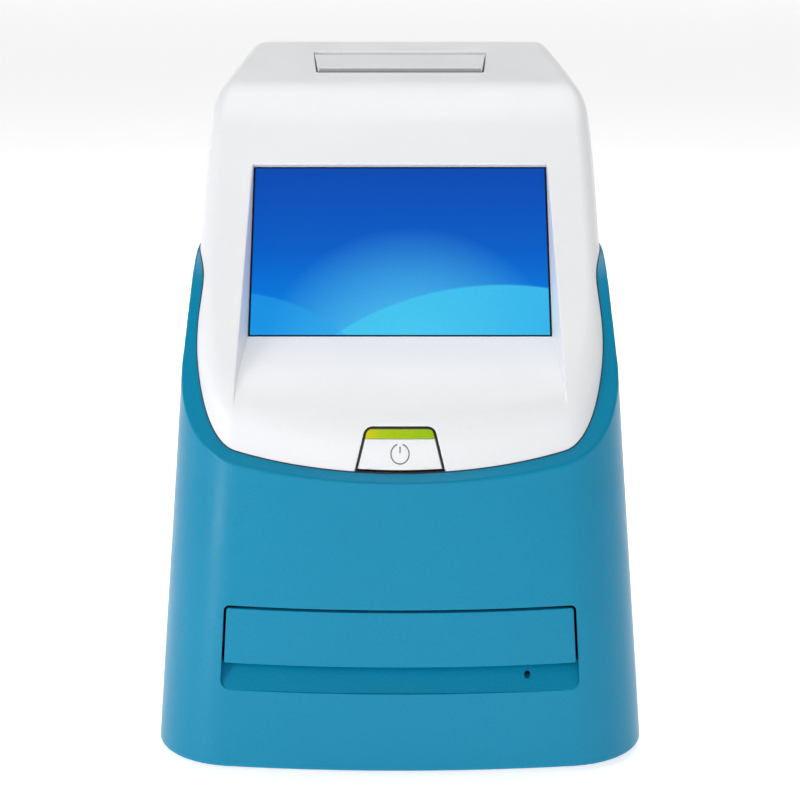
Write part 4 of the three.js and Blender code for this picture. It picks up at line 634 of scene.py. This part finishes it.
class Nodes:
    def __init__(self, name):
        self.material = bpy.data.materials.new(name)
        self.material.use_nodes = True
        self.tree = self.material.node_tree
        self.shader = self.tree.nodes["Principled BSDF"]
        self.place = self.add("ShaderNodeTexCoord").outputs["Object"]

    def add(self, kind, **values):
        node = self.tree.nodes.new(kind)
        for key, value in values.items():
            setattr(node, key, value)
        return node

    def link(self, source, target):
        self.tree.links.new(source, target)

    def set(self, **values):
        for key, value in values.items():
            self.shader.inputs[key.replace("_", " ")].default_value = value

    def noise(self, scale, detail=3.0, stretch=None):
        node = self.add("ShaderNodeTexNoise")
        node.inputs["Scale"].default_value = scale
        node.inputs["Detail"].default_value = detail
        node.inputs["Roughness"].default_value = 0.55
        source = self.place
        if stretch:
            bend = self.add("ShaderNodeMapping")
            bend.inputs["Scale"].default_value = stretch
            self.link(source, bend.inputs["Vector"])
            source = bend.outputs["Vector"]
        self.link(source, node.inputs["Vector"])
        return node.outputs["Fac"]

    def cells(self, scale):
        node = self.add("ShaderNodeTexVoronoi", feature="SMOOTH_F1")
        node.inputs["Scale"].default_value = scale
        node.inputs["Smoothness"].default_value = 0.6
        self.link(self.place, node.inputs["Vector"])
        return node.outputs["Distance"]

    def spread(self, source, low, high, start=0.3, end=0.7):
        node = self.add("ShaderNodeMapRange")
        for key, value in (("From Min", start), ("From Max", end), ("To Min", low), ("To Max", high)):
            node.inputs[key].default_value = value
        self.link(source, node.inputs["Value"])
        return node.outputs["Result"]

    def mix(self, factor, one, two):
        node = self.add("ShaderNodeMix", data_type="RGBA")
        for socket, value in ((node.inputs["Factor"], factor), (node.inputs[6], one), (node.inputs[7], two)):
            if isinstance(value, bpy.types.NodeSocket):
                self.link(value, socket)
            elif isinstance(value, tuple):
                socket.default_value = (*value, 1)
            else:
                socket.default_value = value
        return node.outputs[2]

    def sum(self, one, two, kind="ADD"):
        node = self.add("ShaderNodeMath", operation=kind)
        for socket, value in zip(node.inputs, (one, two)):
            if isinstance(value, bpy.types.NodeSocket):
                self.link(value, socket)
            else:
                socket.default_value = value
        return node.outputs[0]

    def bump(self, source, strength, distance):
        node = self.add("ShaderNodeBump")
        node.inputs["Strength"].default_value = strength
        node.inputs["Distance"].default_value = distance
        self.link(source, node.inputs["Height"])
        return node.outputs["Normal"]

    def axes(self):
        node = self.add("ShaderNodeSeparateXYZ")
        self.link(self.place, node.inputs[0])
        return node.outputs


def moulded(name, colour, second, rough, grain=700.0, depth=0.00012, strength=0.3, **values):
    """Moulded plastic: an eroded grain, slow clouds of tone and a few duller rubbed patches."""
    n = Nodes(name)
    n.set(**values)
    tone = n.spread(n.noise(14.0, 4.0), 0.0, 1.0)
    speck = n.spread(n.noise(grain * 1.6, 2.0), 0.0, 0.35)
    base = n.mix(tone, colour, second)
    shade = n.mix(speck, base, tuple(c * 0.86 for c in colour))
    n.link(shade, n.shader.inputs["Base Color"])
    gloss = n.sum(n.noise(36.0, 5.0), n.sum(n.noise(grain, 2.0), 0.35, "MULTIPLY"))
    n.link(n.spread(gloss, rough - 0.07, rough + 0.09, 0.45, 0.95), n.shader.inputs["Roughness"])
    pits = n.sum(n.cells(grain), n.sum(n.noise(grain * 2.2, 2.0), 0.5, "MULTIPLY"))
    n.link(n.bump(pits, strength, depth), n.shader.inputs["Normal"])
    return n.material


def brushed(name, colour, rough, stretch, **values):
    """Metal with fine brush lines and faint stains."""
    n = Nodes(name)
    n.set(Metallic=1.0, **values)
    lines = n.noise(160.0, 4.0, stretch)
    stain = n.spread(n.noise(30.0, 3.0), 0.0, 0.5)
    n.link(n.mix(stain, colour, tuple(c * 0.78 for c in colour)), n.shader.inputs["Base Color"])
    n.link(n.spread(lines, rough - 0.1, rough + 0.14), n.shader.inputs["Roughness"])
    n.link(n.bump(lines, 0.25, 0.00005), n.shader.inputs["Normal"])
    return n.material


def teal():
    """The housing's finely grained teal plastic."""
    n = Nodes("teal_plastic")
    n.set(IOR=1.45, Specular_IOR_Level=0.26, Coat_Weight=0.04, Coat_Roughness=0.25)
    tone = n.spread(n.noise(9.0, 4.0), 0.0, 1.0)
    base = n.mix(tone, srgb(0, 132, 168), srgb(0, 137, 174))
    fine = n.spread(n.noise(1500.0, 2.0), 0.0, 0.55)
    shade = n.mix(fine, base, srgb(0, 116, 153))
    n.link(shade, n.shader.inputs["Base Color"])
    gloss = n.noise(45.0, 5.0)
    n.link(n.spread(gloss, 0.28, 0.34), n.shader.inputs["Roughness"])
    grain = n.sum(n.cells(620.0), n.sum(n.noise(1100.0, 3.0), 0.6, "MULTIPLY"))
    n.link(n.bump(grain, 0.34, 0.00016), n.shader.inputs["Normal"])
    return n.material


def lit_band():
    """The button's lime band, yellower on its left."""
    half = 16.6 * MM
    n = Nodes("lit_band")
    n.set(Roughness=0.35, Coat_Weight=0.08, Coat_Roughness=0.1, Specular_IOR_Level=0.25)
    across = n.spread(n.axes()[0], 0.0, 1.0, -half, half)
    ramp_node = n.add("ShaderNodeValToRGB")
    stops = ramp_node.color_ramp.elements
    stops[0].position, stops[0].color = 0.0, (*srgb(205, 196, 0), 1)
    stops[1].position, stops[1].color = 1.0, (*srgb(142, 186, 4), 1)
    middle = stops.new(0.22)
    middle.color = (*srgb(165, 190, 0), 1)
    n.link(across, ramp_node.inputs[0])
    ripple = n.spread(n.noise(420.0, 2.0), 0.0, 0.05)
    colour = n.mix(ripple, ramp_node.outputs[0], (1.0, 1.0, 0.2))
    n.link(colour, n.shader.inputs["Base Color"])
    n.link(colour, n.shader.inputs["Emission Color"])
    n.set(Emission_Strength=0.05)
    n.link(n.bump(n.noise(500.0, 2.0), 0.1, 0.00005), n.shader.inputs["Normal"])
    return n.material


def picture():
    """The lit screen: a plain blue fade with a soft glow and two round waves, inside a thin dark border."""
    lit_half, lit_foot, lit_top, soft_edge = 0.0752, 0.0009, 0.0978, 0.0003
    n = Nodes("lit_screen")
    x, y, z = n.axes()
    lean_y = n.sum(n.sum(y, -SCREEN_Y * MM), math.sin(SCREEN_LEAN), "MULTIPLY")
    lean_z = n.sum(n.sum(z, -SCREEN_Z * MM), math.cos(SCREEN_LEAN), "MULTIPLY")
    up = n.sum(lean_y, lean_z)
    ramp_node = n.add("ShaderNodeValToRGB")
    stops = ramp_node.color_ramp.elements
    stops[0].position, stops[0].color = 0.0, (*srgb(2, 144, 234), 1)
    stops[1].position, stops[1].color = 1.0, (*srgb(4, 76, 184), 1)
    for position, tint in ((0.25, (0, 122, 226)), (0.5, (0, 98, 208)), (0.8, (4, 84, 194))):
        stops.new(position).color = (*srgb(*tint), 1)
    n.link(n.spread(up, 0.0, 1.0, 0.0, SCREEN_HIGH * MM), ramp_node.inputs[0])
    colour = ramp_node.outputs[0]

    def ring(cx, cu, radius, soft):
        dx, du = n.sum(x, -cx), n.sum(up, -cu)
        square = n.sum(n.sum(dx, dx, "MULTIPLY"), n.sum(du, du, "MULTIPLY"))
        return n.spread(n.sum(square, 0.5, "POWER"), 1.0, 0.0, radius - soft, radius)

    glow = n.sum(ring(0.006, -0.012, 0.075, 0.075), 0.85, "MULTIPLY")
    colour = n.mix(glow, colour, srgb(96, 220, 255))
    for cx, cu, radius, amount, tint in (
        (0.052, -0.112, 0.142, 0.75, (70, 212, 252)),
        (-0.088, -0.062, 0.088, 0.5, (40, 172, 246)),
    ):
        inner = n.sum(ring(cx, cu, radius + 0.002, 0.07), -0.55, "MULTIPLY")
        edge = n.sum(ring(cx, cu, radius, 0.0012), inner)
        colour = n.mix(n.sum(n.sum(edge, 0.0, "MAXIMUM"), amount, "MULTIPLY"), colour, srgb(*tint))
    across = n.sum(x, 0.0, "ABSOLUTE")
    sides = n.spread(across, 0.0, 1.0, lit_half, lit_half + soft_edge)
    lower = n.spread(up, 1.0, 0.0, lit_foot, lit_foot + soft_edge)
    upper = n.spread(up, 0.0, 1.0, lit_top, lit_top + soft_edge)
    border = n.sum(n.sum(sides, lower, "MAXIMUM"), upper, "MAXIMUM")
    dark = n.mix(border, colour, srgb(4, 6, 14))
    dots = n.spread(n.noise(900.0, 1.0), 0.0, 0.05)
    lit = n.mix(dots, dark, (0.0, 0.0, 0.0))
    n.link(lit, n.shader.inputs["Emission Color"])
    n.set(Emission_Strength=0.92, Coat_Weight=0.02, Coat_Roughness=0.06, Specular_IOR_Level=0.04)
    n.shader.inputs["Base Color"].default_value = (0.004, 0.006, 0.012, 1)
    n.link(n.spread(n.noise(22.0, 4.0), 0.1, 0.2), n.shader.inputs["Roughness"])
    return n.material


def circuit():
    """A green board with a brick pattern of tracks."""
    n = Nodes("circuit_board")
    n.set(Coat_Weight=0.35, Coat_Roughness=0.2)
    tracks = n.add("ShaderNodeTexBrick")
    tracks.inputs["Scale"].default_value = 95.0
    tracks.inputs["Mortar Size"].default_value = 0.035
    tracks.inputs["Color1"].default_value = (*srgb(12, 84, 52), 1)
    tracks.inputs["Color2"].default_value = (*srgb(14, 96, 60), 1)
    tracks.inputs["Mortar"].default_value = (*srgb(60, 140, 84), 1)
    turned = n.add("ShaderNodeMapping")
    turned.inputs["Rotation"].default_value = (math.pi / 2, 0, 0)
    n.link(n.place, turned.inputs["Vector"])
    n.link(turned.outputs["Vector"], tracks.inputs["Vector"])
    shade = n.mix(n.spread(n.noise(60.0), 0.0, 0.4), tracks.outputs["Color"], srgb(8, 60, 38))
    n.link(shade, n.shader.inputs["Base Color"])
    n.link(n.spread(n.noise(80.0), 0.3, 0.5), n.shader.inputs["Roughness"])
    n.link(n.bump(tracks.outputs["Fac"], 0.3, 0.0001), n.shader.inputs["Normal"])
    return n.material


def clear():
    """Clear plastic for the lamp's lens."""
    n = Nodes("clear_plastic")
    n.set(IOR=1.49, Transmission_Weight=1.0)
    n.shader.inputs["Base Color"].default_value = (0.95, 0.97, 1.0, 1)
    n.link(n.spread(n.noise(50.0), 0.03, 0.12), n.shader.inputs["Roughness"])
    n.link(n.bump(n.noise(200.0), 0.06, 0.00005), n.shader.inputs["Normal"])
    return n.material


looks = {
    "teal_shell": teal(),
    "white_shell": moulded(
        "white_plastic", srgb(241, 242, 244), srgb(237, 238, 241), 0.4, 900.0, 0.00006, 0.16,
        IOR=1.46, Coat_Weight=0.06, Coat_Roughness=0.25,
    ),
    "lime_lens": lit_band(),
    "screen_glass": picture(),
    "rubber": moulded("rubber", srgb(34, 34, 36), srgb(42, 42, 44), 0.72, 500.0, 0.0002, 0.4),
    "black_plastic": moulded("black_plastic", srgb(26, 27, 30), srgb(34, 35, 38), 0.46, 800.0, 0.0001, 0.3),
    "grey_plastic": moulded(
        "grey_plastic", srgb(138, 142, 150), srgb(148, 152, 160), 0.45, 800.0, 0.0001, 0.25,
    ),
    "clear_lens": clear(),
    "circuit_board": circuit(),
    "brass": brushed("brass", srgb(196, 160, 84), 0.32, (1, 14, 14)),
    "aluminium": brushed("aluminium", srgb(196, 199, 203), 0.36, (1, 16, 16)),
    "steel": brushed("steel", srgb(168, 171, 176), 0.32, (18, 1, 18)),
}
# The grey of the lid's lip is painted shade on the lid's front face
lip_shade_look = moulded("lid_lip", srgb(172, 175, 180), srgb(178, 181, 186), 0.45, 800.0, 0.0001, 0.2)
mark_look = moulded("printed_mark", srgb(112, 114, 120), srgb(120, 122, 128), 0.5, 900.0, 0.00004, 0.1)

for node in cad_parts:
    for spot in bpy.data.objects[node].material_slots:
        look_name = spot.material.name.split(".")[0] if spot.material else ""
        if look_name in looks:
            spot.material = looks[look_name]


def show(piece, body, slot, look, *nodes):
    """Gives a piece its look and body, and hides the nodes that it stands in for; slot is not used."""
    piece.data.materials.clear()
    piece.data.materials.append(look)
    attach(piece, body)
    if nodes:
        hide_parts(*nodes)


# The shells and the moving covers

rough_cell = 1.25
show(
    piece_from("housing_skin", housing_shell, (-123, -153, 0), (123, 153, 245), rough_cell, 0.3),
    "housing", "teal_shell", looks["teal_shell"], "base_shell",
)
show(
    piece_from("head_skin", head_shell, (-105, -133, 134), (105, 147, 334), rough_cell, 0.3),
    "housing", "white_shell", looks["white_shell"], "head_shell",
)
show(
    piece_from("drawer_skin", drawer_panel, (-87, -147, 52), (87, -132, 83), 0.6, 0.45),
    "drawer", "teal_shell", looks["teal_shell"], "drawer_front",
)
show(
    piece_from("button_cap", button_cap, (-25, -131, 144), (25, -109, 168), 0.5, 0.5),
    "button", "white_shell", looks["white_shell"], "power_button",
)
show(
    piece_from("button_light", button_lens, (-19, -124, 159), (19, -111, 168), 0.4, 0.5),
    "button", "lime_lens", looks["lime_lens"], "button_lens",
)
show(
    piece_from("lid_skin", printer_lid, (-51, 72, 307), (51, 116, 328), 0.5, 0.35),
    "lid", "white_shell", looks["white_shell"], "printer_lid",
)


# Painted shade: a dark line in the gap round the button, and one where the head stands on the ledge

def painted_gap_shade(x, y, z):
    """Painted shade: a dark ring in the gap beside and above the cap, and a dark strip on the ledge under the
    cap.
    """
    skin, height = head_skin(x, y, z), over_rim(y, z)[1]
    around = np.maximum(button_shape(x, z, GAP_SHADE_REACH), behind_nose(y, z) - GAP_SHADE_DEEP)
    beside = -button_shape(x, z, GAP_SHADE_CLEARANCE)
    ring = np.maximum.reduce([around, beside, skin + GAP_SHADE_INSET, -height])
    flush = height - under_button(skin)
    under = np.maximum.reduce([around, flush, -HEAD_SUNK - height, skin + STRIP_INSET])
    return np.minimum(ring, under)


show(
    piece_from("button_painted_gap_shade", painted_gap_shade, (-25, -133, 140), (25, -109, 168), 0.35),
    "housing", "black_plastic", looks["black_plastic"],
)


SEAM_POINTS, SEAM_MIDDLE, SEAM_FAR, SEAM_RAISED, SEAM_RADIUS = 420, 20, 200.0, 0.05, 0.32
HALVINGS = 40


def foot_of_head():
    """Where the head's side meets the ledge, all the way round, found by halving along each ray."""
    turn = np.linspace(0, 2 * math.pi, SEAM_POINTS, endpoint=False)
    on_rim = lambda y: np.interp(y, rim[:, 0], rim[:, 1])
    near, far = np.zeros(SEAM_POINTS), np.full(SEAM_POINTS, SEAM_FAR)
    for _ in range(HALVINGS):
        mid = (near + far) / 2
        x, y = mid * np.cos(turn), SEAM_MIDDLE + mid * np.sin(turn)
        inside = head_skin(x, y, on_rim(y)) < 0
        near, far = np.where(inside, mid, near), np.where(inside, far, mid)
    x, y = near * np.cos(turn), SEAM_MIDDLE + near * np.sin(turn)
    return np.stack([x, y, on_rim(y) + SEAM_RAISED], 1)


def closed_tube(name, path, radius, sides=6):
    """A tube along a closed path."""
    ahead = np.roll(path, -1, 0) - np.roll(path, 1, 0)
    ahead /= np.linalg.norm(ahead, axis=1)[:, None]
    across = np.cross(ahead, [0, 0, 1.0])
    across /= np.linalg.norm(across, axis=1)[:, None]
    upward = np.cross(across, ahead)
    angles = np.arange(sides) * 2 * math.pi / sides
    points = (
        path[:, None]
        + radius * np.cos(angles)[None, :, None] * across[:, None]
        + radius * np.sin(angles)[None, :, None] * upward[:, None]
    ).reshape(-1, 3)
    rows, around = len(path), np.arange(sides)
    faces = []
    for i in range(rows):
        a, b = i * sides, (i + 1) % rows * sides
        faces += [(a + k, a + (k + 1) % sides, b + (k + 1) % sides, b + k) for k in around]
    thing = bpy.data.objects.new(name, mesh_of(name, points, np.array(faces)))
    thing.data.polygons.foreach_set("use_smooth", [True] * len(thing.data.polygons))
    scene.collection.objects.link(thing)
    return thing


# A dark tube where the head stands on the ledge: painted shade along the seam
show(
    closed_tube("head_seam_painted_shade", foot_of_head(), SEAM_RADIUS),
    "housing", "black_plastic", looks["black_plastic"],
)

# Painted shade on the printer's lid: a grey strip for its shaded front face, and dark bottoms for its shaded
# side gaps

LIP_HALF, LIP_HALF_THICK, LIP_SUNK, LIP_TOP_GAP, LIP_HIGH = 44.7, 0.28, 0.1, 0.28, 2.5
LIP_CORNER, LIP_EDGE = 0.15, 0.12
BESIDE_LID, IN_WALL, GAP_FRONT, GAP_BACK, GAP_TOP, GAP_FOOT = 0.15, 0.3, 73.9, 102.0, 0.45, 3.4


def painted_lip_shade(x, y, z):
    """A grey strip on the lid's leaning front face: painted shade, where that face lies in shade."""
    upright = meet(z - LID_FRONT_Z + LIP_TOP_GAP, LID_FRONT_Z - LIP_HIGH - z, LIP_CORNER)
    ends = np.maximum(np.abs(x) - LIP_HALF, upright)
    return meet(np.abs(lid_lip(y, z) + LIP_SUNK) - LIP_HALF_THICK, ends, LIP_EDGE)


def lid_painted_gap_shade(x, y, z):
    """A dark sheet at the bottom of the gap on each side of the lid: painted shade in the gaps."""
    ax, below = np.abs(x), roof_z(y) - z
    across = np.maximum(lid_half(y) + BESIDE_LID - ax, ax - lid_hole_half(y) - IN_WALL)
    return np.maximum.reduce([across, GAP_FRONT - y, y - GAP_BACK, GAP_TOP - below, below - GAP_FOOT])


show(
    piece_from("lid_painted_lip_shade", painted_lip_shade, (-47, 73, 316), (47, 77, 322), 0.3, 0.3),
    "lid", "grey_plastic", lip_shade_look,
)
show(
    piece_from("lid_painted_gap_shade", lid_painted_gap_shade, (-50, 73, 312), (50, 103, 326), 0.3, 0.3),
    "housing", "black_plastic", looks["black_plastic"],
)

# The power symbol on the cap, thin and a little raised: an open ring and a short bar

MARK_Z, MARK_RADIUS, MARK_OPENING, MARK_POINTS = 155.0, 4.3, 17, 49
MARK_HALF, MARK_SUNK, MARK_RAISED = 0.3, 0.25, 0.035
BAR_FOOT, BAR_MIDDLE, BAR_TOP = 0.4, 1.8, 3.2


def on_cap(x, z, out):
    """The point of the cap's front at x and z, moved out by out."""
    y = nose_y(z) + NOSE_ROUND - math.sqrt(NOSE_ROUND ** 2 - x * x)
    lean = math.hypot(1, NOSE_SLOPE)
    return (x, y - out / lean, z + out * NOSE_SLOPE / lean)


def ribbon(name, path):
    """A thin closed strip along a path on the cap."""
    profile = ((-1, -MARK_SUNK), (1, -MARK_SUNK), (1, MARK_RAISED), (-1, MARK_RAISED))
    points, faces = [], []
    for i, (x, z) in enumerate(path):
        (ax, az), (bx, bz) = path[max(i - 1, 0)], path[min(i + 1, len(path) - 1)]
        dx, dz = bx - ax, bz - az
        length = math.hypot(dx, dz)
        sx, sz = -dz / length * MARK_HALF, dx / length * MARK_HALF
        for side, out in profile:
            points.append(on_cap(x + side * sx, z + side * sz, out))
    for i in range(len(path) - 1):
        for k in range(4):
            a, b = 4 * i + k, 4 * i + (k + 1) % 4
            faces.append((a, b, b + 4, a + 4))
    last = 4 * (len(path) - 1)
    faces.append((3, 2, 1, 0))
    faces.append((last, last + 1, last + 2, last + 3))
    mesh = mesh_of(name, np.array(points), np.array(faces))
    thing = bpy.data.objects.new(name, mesh)
    scene.collection.objects.link(thing)
    show(thing, "button", "black_plastic", mark_look)


mark_turns = np.radians(np.linspace(90 + MARK_OPENING, 450 - MARK_OPENING, MARK_POINTS))
ribbon("power_ring", [(MARK_RADIUS * math.cos(t), MARK_Z + MARK_RADIUS * math.sin(t)) for t in mark_turns])
ribbon("power_bar", [(0.0, MARK_Z + up) for up in (BAR_FOOT, BAR_MIDDLE, BAR_TOP)])

# The floor, with a low rim far away, so that views from the side end in the same pale tone

floor_rings = [(4.0, 0.0), (9.0, 0.0), (10.2, 0.15), (11.2, 0.7), (11.8, 1.6), (12.0, 3.2)]
floor_sides, floor_middle = 64, (0.0, 1.0, 0.0)
floor_turns = np.linspace(0, 2 * math.pi, floor_sides, endpoint=False)
spots = [
    (radius * math.cos(turn), floor_middle[1] + radius * math.sin(turn), height)
    for radius, height in floor_rings
    for turn in floor_turns
]
spots.append(floor_middle)
plates = [(len(spots) - 1, k, (k + 1) % floor_sides) for k in range(floor_sides)]
for inner in range(0, floor_sides * (len(floor_rings) - 1), floor_sides):
    outer = inner + floor_sides
    for k in range(floor_sides):
        following = (k + 1) % floor_sides
        plates.append((inner + k, outer + k, outer + following, inner + following))
floor_mesh = bpy.data.meshes.new("floor")
floor_mesh.from_pydata(spots, [], plates)
floor_mesh.polygons.foreach_set("use_smooth", [True] * len(plates))
floor = bpy.data.objects.new("floor", floor_mesh)
scene.collection.objects.link(floor)
pale = Nodes("pale_floor")
clouds = pale.spread(pale.noise(3.0), 0.0, 1.0)
tone = pale.mix(clouds, srgb(250, 250, 251), srgb(253, 253, 253))
pale.link(tone, pale.shader.inputs["Base Color"])
pale.set(Roughness=0.7, Emission_Strength=0.6)
pale.shader.inputs["Emission Color"].default_value = (1, 1, 1, 1)
floor.data.materials.append(pale.material)
